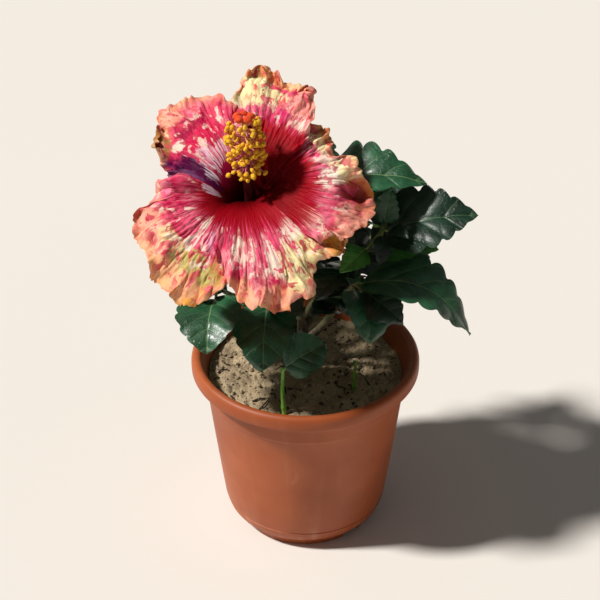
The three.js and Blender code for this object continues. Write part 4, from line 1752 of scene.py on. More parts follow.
@dataclass
class Foliage:
    """One foliage mass: a stem from a bough's tip, twigs, finer twigs and leaves."""

    node: str
    bough: str
    stem: Path
    radius: Pair
    plans: tuple[LeafPlan, ...] = ()
    inner: tuple[LeafPlan, ...] = ()
    space: Space | None = None
    seed: int = 0
    grown: int = 0
    finer: int = 0
    finer_length: Pair = (16.0, 30.0)
    finer_tone: Tone = Tone.GREEN
    tries: ClassVar[int] = 200
    gaps: ClassVar[Pair] = (14.0, 7.5)

    def axis(self) -> Curve:
        """The stem's curve, from the bough's tip."""
        return Curve([LIMB_BY_NODE[self.bough].path[-1], *self.stem])

    def apart(self, leaf: Leaf, others: Sequence[Leaf], least: float) -> bool:
        """True where the leaf's spots keep at least a distance from those of the others."""
        spots = leaf.spots[:, None]
        return all(np.min(norm(spots - other.spots, axis=-1)) >= least for other in others)

    def shoots_out(self, dice: Dice, root: Array, outward: float, spread: float,
                   twig: Pair, blade: Pair, tone: Tone) -> tuple[Array, Leaf]:
        """One try at a twig with a leaf at its end, by the plant's rule.

        Args:
            dice: The random numbers.
            root: Where the twig starts.
            outward: The mean heading, in radians.
            spread: How far it may turn from that, in degrees.
            twig: The least and greatest length of the twig.
            blade: The least and greatest length of the leaf.
            tone: The leaf's tone.

        Returns:
            The twig's end and the leaf.
        """
        heading = outward + math.radians(dice.roll(-spread, spread))
        rise = math.radians(dice.roll(-30, 60))
        reach = dice.roll(*twig)
        length = dice.roll(*blade)
        droop = math.radians(dice.roll(10, 34))
        turn = dice.roll(-22, 22)

        def pointing(angle: float) -> Array:
            """The direction at a rise."""
            flat = math.cos(angle)
            return np.array([flat * math.cos(heading), flat * math.sin(heading), math.sin(angle)])

        end = root + pointing(rise) * reach
        tip = end + pointing(rise - droop) * (length + length * 0.14 + 0.5)
        if blade[0] >= 40:
            tip = end + pointing(rise - droop) * (length + 7)
        return end, Leaf(end, tip, (length, length * 0.7), turn, 0.12, tone)

    def twigs(self) -> list[Twig]:
        """The mass's own twigs, the same ones as its solid has.

        Returns:
            The twigs.
        """
        dice, stem, found = Dice(self.seed), self.axis(), []
        if not self.grown:
            return found
        outward = math.radians(sum(self.space.sector) / 2)
        for number in range(self.tries):
            if len(found) == self.grown:
                break
            root = stem.along(0.25 + 0.75 * dice.roll())
            # Every other grown leaf takes the darkest tone, with its painted shade.
            tone = (Tone.GREEN, Tone.DEEP)[number % 2]
            end, leaf = self.shoots_out(dice, root, outward, 80, (5, 14), (40, 58), tone)
            spots = leaf.spots
            others = [twig.leaf for twig in found]
            if (self.apart(leaf, others, self.gaps[0]) and self.space.holds(spots)
                    and clear_of_limbs(spots)):
                found.append(Twig(root, end, leaf, (1.6, 1.3)))
        return found

    def finer_twigs(self, leaves: list[Leaf], roots: list[Array]) -> list[Twig]:
        """Finer twigs with small leaves, inside the reach that the mass has.

        Args:
            leaves: The leaves that are there already.
            roots: Where finer twigs may start.

        Returns:
            The finer twigs.
        """
        dice, found = Dice(self.seed + 500), []
        low, high = (np.array(corner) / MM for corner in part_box(self.node))
        middle = (low + high) / 2
        for number in range(self.finer * 30):
            if len(found) == self.finer:
                break
            root = roots[int(dice.roll(0, len(roots) - 0.01))]
            outward = math.atan2(middle[1] - root[1], middle[0] - root[0])
            # Every third finer leaf takes the darkest tone, with its painted shade.
            tone = self.finer_tone if number % 3 else Tone.DEEP
            end, leaf = self.shoots_out(dice, root, outward, 130, (3, 9), self.finer_length, tone)
            spots = leaf.spots
            others = [*leaves, *(twig.leaf for twig in found)]
            inside = bool(np.all((spots > low) & (spots < high)))
            if inside and clear_of_limbs(spots, 3) and self.apart(leaf, others, self.gaps[1]):
                found.append(Twig(root, end, leaf, (1.0, 0.7)))
        return found

    def build(self) -> list[Piece]:
        """Makes the mass's leaves and its twigs.

        Returns:
            The two pieces.
        """
        stem = self.axis()
        below = Curve(LIMB_BY_NODE[self.bough].path)
        leaves = [*(plan.leaf(stem) for plan in self.plans), *(plan.leaf(below) for plan in self.inner)]
        twigs = self.twigs()
        leaves += [twig.leaf for twig in twigs]
        roots = [stem.along(way) for way in (0.15, 0.4, 0.65, 0.9, 1.0)]
        roots += [below.along(way) for way in (0.55, 0.75, 0.9)]
        roots += [twig.end for twig in twigs]
        fine = self.finer_twigs(leaves, roots)
        tones = sorted({leaf.tone.name for leaf in [*leaves, *(t.leaf for t in fine)]})
        blades, wood = Heap(), Heap()
        low, high = self.radius
        tube(wood, stem, lambda way: mixed(low, high, way), 12, 24,
             relief=lambda ring, _: 0.16 * Ripple(31, 4, 2).at(ring))
        for twig in [*twigs, *fine]:
            bend = (twig.root + twig.end) / 2 + [0, 0, 0.06 * norm(twig.end - twig.root)]
            tube(wood, Curve([twig.root, bend, twig.end]),
                 lambda way, ends=twig.thick: mixed(*ends, way), 8, 8)
            blob(wood, twig.end, np.array([1.35, 1.35, 1.5]) * twig.thick[1], twig.end - twig.root)
        for leaf in [*leaves, *(twig.leaf for twig in fine)]:
            rows = int(np.clip(leaf.length * 0.8, 22, 64))
            leaf.blade(blades, 2 * tones.index(leaf.tone.name), rows, max(13, rows // 2 * 2 // 2 | 1))
            leaf.stalk(wood, 1.0 if leaf.length > 35 else 0.6)
        self.bud(wood, blades, stem, tones)
        finishes = [finish for name in tones for finish in Tone[name].value]
        pieces = [blades.build(f"{self.node}_leaves", finishes, "leaf", "Blade"),
                  wood.build(f"{self.node}_twigs", [BARK_GREEN, STALK_GREEN], "leaf")]
        return [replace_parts(piece, self.node) for piece in pieces]

    def bud(self, wood: Heap, blades: Heap, stem: Curve, tones: Sequence[str]) -> None:
        """Adds the growing tip: a pointed bud between small folded leaves.

        Args:
            wood: Where the bud goes.
            blades: Where its leaves go.
            stem: The mass's stem.
            tones: The tones of the mass's leaves.
        """
        end = stem.along(1.0)
        way = unit(end - stem.along(0.85))
        blob(wood, end + way * 1.8, [1.5, 1.5, 3.2], way, 1, 6, 8)
        for number in range(3):
            side = turned_about(unit(np.cross(way, [0.3, 0.8, 0.1])), way, 120 * number + self.seed * 31)
            tip = end + way * 7 + side * 5.5
            Leaf(end + way * 0.4, tip, (7.5, 4.2), 10.0, 0.15).blade(
                blades, 2 * (len(tones) - 1), 9, 7)


D, G, B = Tone.DEEP, Tone.GREEN, Tone.BRIGHT
FOLIAGE: tuple[Foliage, ...] = (
    Foliage("foliage_right_low", "bough_right_low", ((31, -18, 209), (36, -22, 219)), (2.1, 1.3), (
        LeafPlan(0.95, (118, -40, 187), (86, 48), 14, G, 0.27),
        LeafPlan(0.85, (68, -53, 204), (38, 34), 30),
        LeafPlan(0.7, (45, -63, 195), (44, 42), -24, G, 0.14, 0.7),
    ), (
        LeafPlan(0.92, (54, -4, 203), (28, 22), 15), LeafPlan(0.7, (4, -28, 194), (30, 22), -10, D, 0.12),
        LeafPlan(0.9, (36, -18, 184), (34, 27), 0), LeafPlan(0.95, (56, -16, 188), (34, 26), 12),
        LeafPlan(0.8, (14, -26, 206), (30, 24), 14),
    ), seed=61, finer=6, finer_length=(13, 20)),
    Foliage("foliage_right", "bough_right", ((46, -2, 236), (55, -2, 250)), (2.1, 1.2), (
        # The leaf ending at (121, -6, 264) keeps the darkest tone as painted shade; the leaf ending at (95, -3,
        # 234) takes the bright tone as painted light shining through it.
        LeafPlan(0.85, (121, -6, 264), (70, 52), 32), LeafPlan(0.3, (95, -3, 234), (46, 30), 20, B, 0.08),
        LeafPlan(0.95, (60, 2, 281), (28, 20), 40, G, 0.05),
        LeafPlan(0.7, (24, -38, 236), (30, 20), -35, B), LeafPlan(0.6, (88, 12, 248), (44, 32), 12),
    ), (
        LeafPlan(0.95, (7, -24, 204), (32, 24), -12, D, 0.12),
        LeafPlan(0.75, (5, -16, 224), (30, 22), 10, G), LeafPlan(1.0, (30, 22, 256), (34, 26), 12),
        LeafPlan(0.85, (58, 14, 206), (32, 25), 18, D, 0.12), LeafPlan(0.95, (52, -14, 230), (34, 26), 10),
        LeafPlan(0.8, (38, -12, 212), (34, 26), -10, D, 0.12), LeafPlan(1.0, (70, 0, 208), (34, 27), 20),
    ), seed=62, finer=8, finer_length=(13, 22), finer_tone=Tone.BRIGHT),
    Foliage("foliage_upper_right", "bough_upper", ((4, 22, 254), (9, 24, 265)), (2, 1.2), (
        LeafPlan(0.95, (84, 2, 286), (80, 54), 22, G, 0.17),
        LeafPlan(0.6, (66, 12, 268), (50, 36), 30, G, 0.12),
    ), (
        LeafPlan(0.95, (46, 8, 240), (38, 29), 5), LeafPlan(0.7, (24, 4, 234), (36, 28), -12),
        LeafPlan(0.85, (56, 20, 262), (38, 28), 10),
    ), seed=63, finer=8, finer_length=(16, 26)),
    Foliage("foliage_left", "bough_left", ((-60, -4, 199), (-66, -9, 207)), (2, 1.2), (
        LeafPlan(0.8, (-69, -66, 187), (50, 46), 8, G, 0.16, 0.8),
        LeafPlan(0.95, (-96, -28, 214), (40, 30), -14, G, 0.14),
        LeafPlan(0.4, (-101, 4, 207), (46, 33), 8, D, 0.14),
    ), seed=64, finer=6, finer_length=(14, 22)),
    Foliage("foliage_front", "bough_front", ((-26, -17, 188), (-27, -14, 198)), (1.9, 1.1), (
        LeafPlan(0.9, (-30, -66, 173), (56, 45), 4, G, 0.14, 0.9),
        LeafPlan(0.95, (-2, -44, 205), (34, 25), 20, D, 0.12),
    ), (
        LeafPlan(0.9, (-6, -34, 184), (36, 30), 10), LeafPlan(0.8, (-48, -34, 190), (36, 30), -8),
    ), seed=65, finer=4, finer_length=(12, 18)),
    Foliage("foliage_back", "bough_back", ((1, 44, 222), (-4, 50, 240), (-6, 52, 258)), (2.1, 1.2), inner=(
        LeafPlan(0.6, (20, 50, 196), (36, 26), 12), LeafPlan(0.8, (13, 30, 168), (32, 24), -8, D, 0.12),
        LeafPlan(0.9, (28, 44, 222), (32, 24), 8),
    ), space=Space((62, 124), 112, (165, 285)), seed=21, grown=7, finer=20, finer_length=(18, 32)),
    Foliage("foliage_back_left", "bough_back_left",
            ((-53, 36, 230), (-60, 40, 247), (-62, 42, 262)), (2, 1.2),
            space=Space((128, 192), 108, (172, 292)), seed=22, grown=7, finer=15, finer_length=(18, 32)),
    Foliage("foliage_back_right", "bough_back_right",
            ((46, 36, 212), (52, 40, 224), (54, 42, 236)), (2, 1.2), inner=(
        LeafPlan(0.6, (12, 40, 208), (34, 26), -10), LeafPlan(0.8, (40, 40, 168), (34, 25), 6, D, 0.12),
        LeafPlan(0.9, (58, 24, 226), (34, 26), 10), LeafPlan(0.7, (46, 8, 186), (28, 21), 12),
    ), space=Space((4, 58), 106, (165, 262)), seed=23, grown=7, finer=20, finer_length=(18, 30)),
)


@dataclass
class YoungShoot:
    """A young shoot straight out of the soil, with its leaves."""

    node: str
    path: Path
    radius: Pair
    plans: tuple[LeafPlan, ...]
    sheaths: int = 2

    def build(self) -> list[Piece]:
        """Makes its leaves and its stem.

        Returns:
            The two pieces.
        """
        stem, wood, blades = Curve(self.path), Heap(), Heap()
        low, high = self.radius
        tube(wood, stem, lambda way: mixed(low, high, way) + 0.5 * np.exp(-((way - 0.2) / 0.05) ** 2),
             14, 30, relief=lambda ring, _: 0.08 * Ripple(41, 3, 2).at(ring))
        for number in range(self.sheaths):
            root = stem.along(0.35 + 0.5 * number / max(1, self.sheaths - 1))
            lean = math.radians(200 * number + 20)
            tip = root + np.array([2.6 * math.cos(lean), 2.6 * math.sin(lean), 6.5])
            Leaf(root, tip, (6.4, 2.2), 30, 0.1).blade(blades, 0, 9, 7)
        for plan in self.plans:
            leaf = plan.leaf(stem)
            rows = int(np.clip(leaf.length * 1.2, 12, 44))
            leaf.blade(blades, 2 * (plan.tone is not Tone.BRIGHT), rows, max(9, rows // 2 | 1))
            leaf.stalk(wood, 0.8 if leaf.length > 20 else 0.4)
        finishes = [*Tone.BRIGHT.value, *Tone.GREEN.value]
        pieces = [blades.build(f"{self.node}_leaves", finishes, "young_leaf", "Blade"),
                  wood.build(f"{self.node}_stem", [SHOOT_GREEN, SHOOT_GREEN], "young_leaf")]
        return [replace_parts(piece, self.node) for piece in pieces]


# ---------------- bloom
@dataclass(frozen=True)
class BloomFrame:
    """Where the bloom stands and which way it faces."""

    at: Point = (-38, -20.6, 278.9)
    elevation: float = 50.0

    @property
    def axes(self) -> tuple[Array, Array, Array]:
        """Rightward, upward and outward along the bloom's axis."""
        angle = math.radians(self.elevation)
        return (np.array([1.0, 0, 0]), np.array([0, math.sin(angle), math.cos(angle)]),
                np.array([0, -math.cos(angle), math.sin(angle)]))

    def point(self, angle: Array, distance: Array, height: Array) -> Array:
        """Points at clockwise angles from the top, distances from the axis and heights on it.

        Args:
            angle: The angles.
            distance: The distances.
            height: The heights.

        Returns:
            The points.
        """
        right, up, facing = self.axes
        values = (np.asarray(value, float) for value in (angle, distance, height))
        angle, distance, height = np.broadcast_arrays(*values)
        return (np.array(self.at) + up * (distance * np.cos(angle))[..., None]
                + right * (distance * np.sin(angle))[..., None] + facing * height[..., None])


BLOOM = BloomFrame()


@dataclass(frozen=True)
class Petal:
    """One petal: its outline by heading and reach, the folds of its margin, and its colours."""

    node: str
    claw: float
    outline: tuple[Pair, ...]
    skin: PetalSkin
    back: PetalBack
    curls: tuple[tuple[float, float, float, float], ...] = ()
    dips: tuple[tuple[float, float, float, float], ...] = ()
    frill: float = 3.6
    seed: int = 1
    throat: ClassVar[float] = 5.6
    reach: ClassVar[float] = 88.0
    swing: ClassVar[Pair] = (-4.5, 11.0)

    def curled(self, heading: Array, curl: tuple[float, float, float, float]) -> Array:
        """How much of a fold there is at each heading."""
        return np.exp(-(((heading - curl[0]) / curl[1]) ** 4))

    def margin(self, heading: Array) -> Array:
        """How far the petal reaches at each heading, with what its folds take up.

        Args:
            heading: The headings, in degrees.

        Returns:
            The reaches, in millimetres.
        """
        line = Curve([(turn, reach, 0) for turn, reach in self.outline]).along(np.linspace(0, 1, 160))
        reach = np.interp(heading, line[:, 0], line[:, 1])
        for curl in self.curls:
            reach = reach + 0.82 * curl[2] * self.curled(heading, curl)
        fray = Ripple(self.seed, 7.0, 3).at(np.stack([heading, heading * 0], -1))
        return reach + 1.3 * fray

    def surface(self, way: Array, across: Array) -> tuple[Array, Array, Array]:
        """Points of the petal's middle surface.

        Args:
            way: From 0 at the claw to 1 at the margin.
            across: From -1 to 1 across the petal, clockwise.

        Returns:
            The points, with the heading and the distance that place its colours.
        """
        first, last = self.outline[0][0], self.outline[-1][0]
        heading = mixed(first, last, 0.5 + 0.5 * across)
        reach = self.margin(heading)
        distance = self.throat + way * np.maximum(0, reach - self.throat)
        spread = smooth(distance, self.throat + 2, self.throat + 26)
        angle = np.radians(mixed(self.claw + 44 * across, heading, spread))
        share = distance / self.reach
        folds = 0.7 * np.sin(9 * angle + 1.3) + np.sin(17 * angle + 0.4)
        height = 38 * (1 - np.exp(-(distance - self.throat) / 18)) - 18 * share**3 + 2.6 * share**3 * folds
        height = height + (0.4 + 3.6 * smooth(distance, self.throat + 6, self.throat + 40)) * across
        arc = np.radians(heading - first) * 60
        flat = np.stack([arc, distance * 0.4], -1)
        rim = smooth(way, 0.55, 1.0)
        height = height + self.frill * rim**1.6 * Ripple(self.seed + 50, 15.0, 2).at(flat)
        height = height + 0.8 * rim * Ripple(self.seed + 60, 6.5, 2).at(flat)
        for way_in, breadth, start, depth in self.dips:
            trough = np.exp(-(((heading - way_in) / breadth) ** 2))
            height = height - depth * trough * smooth(distance, start, start + 16)
        angle = angle + np.radians(1.6) * rim * Ripple(self.seed + 70, 12.0, 2).at(flat)
        outer = smooth(distance, 26, 58)
        pleats = Ripple(self.seed + 80, 5.0, 2).at(np.stack([arc, distance * 0.12], -1))
        crumple = Ripple(self.seed + 90, 6.0, 3).at(np.stack([arc + 0.5 * distance, distance * 0.55], -1))
        height = height + (0.62 * pleats + 0.22 * crumple) * outer
        chart = np.stack([(heading - first) / 100, distance / 100], -1)
        for curl in self.curls:
            strength = self.curled(heading, curl)
            length, turn = curl[2:]
            crease = 0.4 * length
            over = np.maximum(0, distance - (reach - length))
            bend = np.radians(turn) * strength / crease
            bent = np.abs(bend) > 1e-4
            safe = np.where(bent, bend, 1.0)
            arc, flap = np.minimum(over, crease), np.maximum(0, over - crease)
            forward = np.where(bent, np.sin(safe * arc) / safe, arc) + flap * np.cos(bend * crease)
            raised = np.where(bent, (1 - np.cos(safe * arc)) / safe, 0.0) + flap * np.sin(bend * crease)
            distance = distance - over + forward
            height = height + raised
        right, up, _ = BLOOM.axes
        inward = -(self.swing[0] * np.sin(angle) + self.swing[1] * np.cos(angle)) / math.hypot(*self.swing)
        near = smooth(distance, self.throat, 13) * (1 - smooth(distance, 16, 56))
        shift = (near * smooth(inward, -0.3, 0.9))[..., None]
        swung = (self.swing[0] * right + self.swing[1] * up) * shift
        return BLOOM.point(angle, distance, height) + swung, chart

    def build(self) -> Piece:
        """Makes the petal.

        Returns:
            The petal, with a finish for its face and one for its reverse.
        """
        rows, columns = 92, 176
        way = np.linspace(0, 1, rows) ** 0.9
        way, across = np.meshgrid(way, np.linspace(-1, 1, columns), indexing="ij")
        middle, chart = self.surface(way, across)
        normal = np.cross(np.gradient(middle, axis=1), np.gradient(middle, axis=0))
        normal = normal / np.maximum(norm(normal, axis=-1, keepdims=True), 1e-9)
        inner = slice(rows // 3, rows // 2)
        if np.sum(normal[inner] @ BLOOM.axes[2]) < 0:
            normal = -normal
        thick = np.full(way.shape, 0.32)
        thick[0], thick[-1], thick[:, 0], thick[:, -1] = 0, 0, 0, 0
        face, reverse = (middle + normal * (sign * thick)[..., None] for sign in (1, -1))
        heap = Heap()
        heap.sheet(face, reverse, (0, 1), chart, (130.0, 100.0), way)
        piece = heap.build(f"{self.node}_blade", [self.skin, self.back], "petal", "Petal")
        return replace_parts(piece, self.node)


CREAM, WHITE, ROSE, PEACH, SALMON = "#eddda6", "#f4e6d2", "#e2547f", "#f3a782", "#f0938a"
GOLD, AMBER, PURPLE, LILAC, MAGENTA = "#eead4a", "#c67c40", "#4e0a3e", "#e6bcdc", "#c81c5a"

PETALS: tuple[Petal, ...] = (
    Petal(
        "petal_top", 11, (
            (-32, 52), (-22, 62), (-13, 70), (-6, 82), (0, 93), (6, 97), (11, 94), (16, 89), (22, 88),
            (27, 89), (32, 84), (38, 73), (44, 60), (50, 48)),
        PetalSkin("petal_top_face", -32, 48, (
            Daub(-12, 60, 20, 12, ROSE, 0.9), Daub(-6, 72, 12, 12, "#d8cc9c", 0.9),
            Daub(3, 80, 8, 16, "#e6dda6", 1.0, 0.3), Daub(14, 68, 14, 9, CREAM, 0.9, 0.9),
            Daub(20, 58, 16, 8, MAGENTA, 0.9), Daub(32, 76, 11, 18, SALMON, 1.0),
            Daub(38, 58, 9, 7, "#f0bfae", 0.8, 0.8), Daub(6, 93, 9, 8, AMBER, 0.9),
            Daub(17, 86, 9, 6, "#e8a070", 0.9),
        ), spotted=0.36, blotched=0.36, pale=(52, 60, 0.2), seed=0.3),
        PetalBack("petal_top_back", "#eba679", "#d07a3e"), ((6, 7, 13, 145), (21, 8, 16, 150)), (), 2.6, 3,
    ),
    Petal(
        "petal_right", 83, (
            (30, 50), (38, 63), (47, 71), (55, 68), (62, 64), (67, 68), (72, 76), (80, 77), (84, 84),
            (92, 85), (101, 84), (112, 77), (120, 70), (126, 62), (132, 50)),
        PetalSkin("petal_right_face", 30, 43, (
            Daub(48, 68, 11, 7, GOLD, 1.0), Daub(58, 59, 18, 5, CREAM, 0.95),
            Daub(64, 52, 12, 5, ROSE, 0.6, 0.9), Daub(77, 69, 9, 11, "#f2e2ae", 1.0, 0.3),
            Daub(82, 54, 11, 8, WHITE, 0.95, 0.8), Daub(103, 58, 16, 13, "#e0506f", 0.9),
            Daub(110, 73, 16, 13, "#f29a8a", 0.95), Daub(118, 47, 8, 9, "#f09a92", 0.85),
            # Painted light and shade in the trough at heading 89: the orange patch at heading 84 is its painted
            # lit upper flank, the brown one at heading 96 its painted shaded lower flank, and the dark red one at
            # heading 89 painted shade deep in the pocket.
            Daub(84, 77, 3, 11, "#d0702f", 0.95, 0.3), Daub(96, 80, 6, 9, "#b8604a", 0.95, 0.4),
            Daub(89, 72, 5.5, 10, "#8c1220", 1.0, 0.4),
        ), spotted=0.35, blotched=0.34, pale=(44, 54, 0.35), seed=1.1),
        PetalBack("petal_right_back", "#e0917a", "#c9683c"), (), ((89, 6, 57, 18),), 3.0, 5,
    ),
    Petal(
        "petal_low_right", 155, (
            (106, 54), (112, 66), (118, 74), (125, 76), (131, 72), (138, 70), (144, 76), (150, 85),
            (157, 83), (165, 86), (172, 82), (181, 80), (187, 71), (194, 66), (200, 58), (207, 48)),
        PetalSkin("petal_low_right_face", 106, 31, (
            Daub(122, 67, 12, 10, GOLD, 1.0), Daub(134, 57, 10, 14, "#d9cd92", 0.95, 0.6),
            Daub(130, 42, 16, 7, WHITE, 0.7, 1.0), Daub(149, 66, 12, 20, "#ead9a2", 1.0, 0.6),
            Daub(165, 77, 8, 9, PEACH, 0.9), Daub(162, 50, 5, 12, WHITE, 0.7, 0.9),
            Daub(175, 62, 9, 14, "#e58a94", 0.8), Daub(172, 78, 12, 9, "#f0ac90", 0.9),
            Daub(185, 72, 8, 11, PEACH, 0.9), Daub(184, 46, 11, 8, "#f4d2bd", 0.85, 0.9),
            Daub(196, 56, 8, 10, "#f0838f", 0.85),
        ), spotted=0.29, blotched=0.38, pale=(36, 46, 0.12), seed=2.2),
        PetalBack("petal_low_right_back", "#e8a35c", "#cf7830"), ((119, 7, 9, 110),), ((190, 5, 56, 6),),
        3.6, 7,
    ),
    Petal(
        "petal_low_left", 227, (
            (186, 52), (195, 72), (203, 84), (211, 88), (221, 87), (233, 84), (244, 80), (251, 83),
            (257, 80), (262, 70), (268, 63), (275, 61), (281, 49)),
        PetalSkin("petal_low_left_face", 186, 31, (
            # The olive patch at heading 200 is painted shadow where the lower right petal overlaps.
            Daub(200, 68, 9, 22, "#a8923c", 0.8), Daub(208, 83, 11, 9, "#e8a032", 1.0),
            Daub(217, 66, 16, 11, "#bcb068", 0.95), Daub(228, 80, 16, 9, PEACH, 0.95),
            Daub(246, 72, 12, 14, "#f2ab92", 0.95), Daub(236, 63, 10, 8, "#d8c892", 0.8, 0.9),
            Daub(221, 78, 20, 8, "#eeb083", 0.9), Daub(240, 54, 18, 4, "#b40a3c", 0.7),
            Daub(269, 59, 9, 8, "#ea7a96", 0.9), Daub(210, 43, 9, 9, LILAC, 0.55, 1.2),
            Daub(226, 45, 4, 14, WHITE, 0.7, 1.0),
        ), (
            # The pale spot at heading 274, distance 27 is a painted glint.
            Daub(271, 43, 6, 9, "#86082e", 0.7), Daub(274, 27, 5, 6, "#f0d8ee", 0.9, 1.3),
        ), spotted=0.29, blotched=0.38, pale=(34, 50, 0.2), seed=3.1),
        PetalBack("petal_low_left_back", "#e0924c", "#a0522f"), (), ((252, 6, 58, 6),), 4.0, 9,
    ),
    Petal(
        "petal_high_left", 299, (
            (264, 44), (275, 52), (284, 57), (290, 65), (298, 74), (303, 79), (309, 80), (315, 88),
            (321, 85), (327, 83), (334, 80), (341, 74), (349, 64), (357, 50)),
        PetalSkin("petal_high_left_face", 264, 26, (
            Daub(322, 78, 20, 8, "#f2a68e", 1.0), Daub(328, 73, 6, 7, "#e8607f", 0.8),
            Daub(316, 62, 12, 7, "#98123c", 0.8), Daub(320, 50, 18, 8, "#d42450", 0.9),
            Daub(303, 58, 6, 4, "#ecdcc8", 0.9), Daub(305, 71, 4, 7, CREAM, 0.8),
            # The olive-brown patch at heading 297, distance 69 is painted shade where the margin folds over.
            Daub(297, 69, 10, 9, "#9c7138", 0.95),
        ), (
            # Painted light and shade: the pale streak at heading 312, distance 36 is a painted sheen; the purple
            # patch at heading 288 is partly painted shade and partly a painted bluish reflection; the pale spot
            # at heading 297, distance 29 is a painted glint.
            Daub(312, 24, 20, 9, "#a00a42", 0.9), Daub(312, 36, 20, 8, "#efd0e2", 0.85, 1.4),
            Daub(288, 38, 14, 23, PURPLE, 0.95), Daub(297, 29, 9, 6, "#f3e2f2", 0.95, 1.4),
            Daub(284, 44, 8, 12, "#8f5a8c", 0.6, 1.2), Daub(283, 50, 4, 9, "#7a3a62", 0.6, 0.9),
        ), spotted=0.33, blotched=0.36, pale=(28, 40, 0.2), seed=4.4),
        PetalBack("petal_high_left_back", "#c98a4a", "#8f5a26"), ((300, 6, 10, 120),), (), 3.2, 11,
    ),
)


@dataclass
class Column:
    """The staminal column: a tube, its filaments with anthers, and five stigma pads."""

    path: Path = ((0, 0, -0.9), (0, 0.6, 7), (-1, 8, 24), (-2, 19, 44), (-3, 36, 63))
    radius: Pair = (4.6, 2.0)
    anthers: int = 150
    anther: float = 2.15
    bearing: Pair = (0.53, 0.975)

    def build(self) -> Piece:
        """Makes the column.

        Returns:
            The column with its anthers and stigmas.
        """
        right, up, facing = BLOOM.axes
        points = [np.array(BLOOM.at) + right * r + up * u + facing * h for r, u, h in self.path]
        curve, heap, dice = Curve(points), Heap(), Dice(5)
        low, high = self.radius
        tube(heap, curve, lambda way: mixed(low, high, way**0.6), 20, 60, 0,
             relief=lambda ring, _: 0.12 * Ripple(51, 3, 2).at(ring))
        for number in range(self.anthers):
            at = mixed(*self.bearing, (number + 0.5) / self.anthers)
            self.stamen(heap, curve, at, number * math.pi * (3 - math.sqrt(5)), dice)
        for number in range(5):
            self.stigma(heap, curve, number)
        finishes = [
            ColumnSkin(),
            Velvet("filament_skin", "#f0a590", "#d9708a", 500.0, 0.3),
            Velvet("pollen", "#fbc71a", "#d7960c", 1400.0, 0.6),
            Velvet("stigma_pad", "#f0560f", "#cf3606", 1500.0, 0.6),
        ]
        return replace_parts(heap.build("column_and_stamens", finishes, "stamens"), "staminal_column")

    def stamen(self, heap: Heap, curve: Curve, at: float, angle: float, dice: Dice) -> None:
        """Adds a filament with its anther.

        Args:
            heap: Where it goes.
            curve: The column's axis.
            at: The way along it where the filament starts.
            angle: Its angle round the column.
            dice: The random numbers.
        """
        root = curve.along(at)
        tangent = unit(curve.along(min(1, at + 0.02)) - curve.along(at - 0.02))
        side = unit(np.cross(tangent, BLOOM.axes[0]))
        out = BLOOM.axes[0] * math.cos(angle) + side * math.sin(angle)
        away = unit(out + tangent * dice.roll(-0.5, 0.45))
        length = dice.roll(7.5, 14.0)
        hangs = dice.roll(3.5, 6.5) if at < 0.57 and dice.roll(0, 1) < 0.5 else dice.roll(0, 1.6)
        bend = root + away * length * 0.55 + tangent * dice.roll(-0.8, 1.2)
        end = root + away * length + np.array([0, 0, -hangs])
        tube(heap, Curve([root, bend, end]), lambda way: 0.42 - 0.12 * way, 5, 5, 1)
        size = self.anther * dice.roll(0.8, 1.15)
        turn = unit(np.array([dice.roll(-1, 1), dice.roll(-1, 1), dice.roll(-1, 1)]) + 1e-3)
        blob(heap, end, [size * 0.72, size * 0.85, size], turn, 2, 5, 8, 0.07, int(angle * 10))

    def stigma(self, heap: Heap, curve: Curve, number: int) -> None:
        """Adds one of the five style arms with its pad.

        Args:
            heap: Where it goes.
            curve: The column's axis.
            number: Which one it is.
        """
        root, before = curve.along(0.985), curve.along(0.93)
        tangent = unit(root - before)
        side = unit(np.cross(tangent, BLOOM.axes[0]))
        angle = TURN * number / 5 + 0.3
        out = BLOOM.axes[0] * math.cos(angle) + side * math.sin(angle)
        end = root + unit(out + tangent * 0.9) * 6.6
        bend = root + tangent * 3.0 + out * 1.3
        tube(heap, Curve([root, bend, end]), lambda way: 0.8 + 0.25 * way, 8, 8, 1)
        blob(heap, end, [3.0, 3.0, 2.5], out * 0.5 + tangent, 3, 8, 14, 0.08, number)


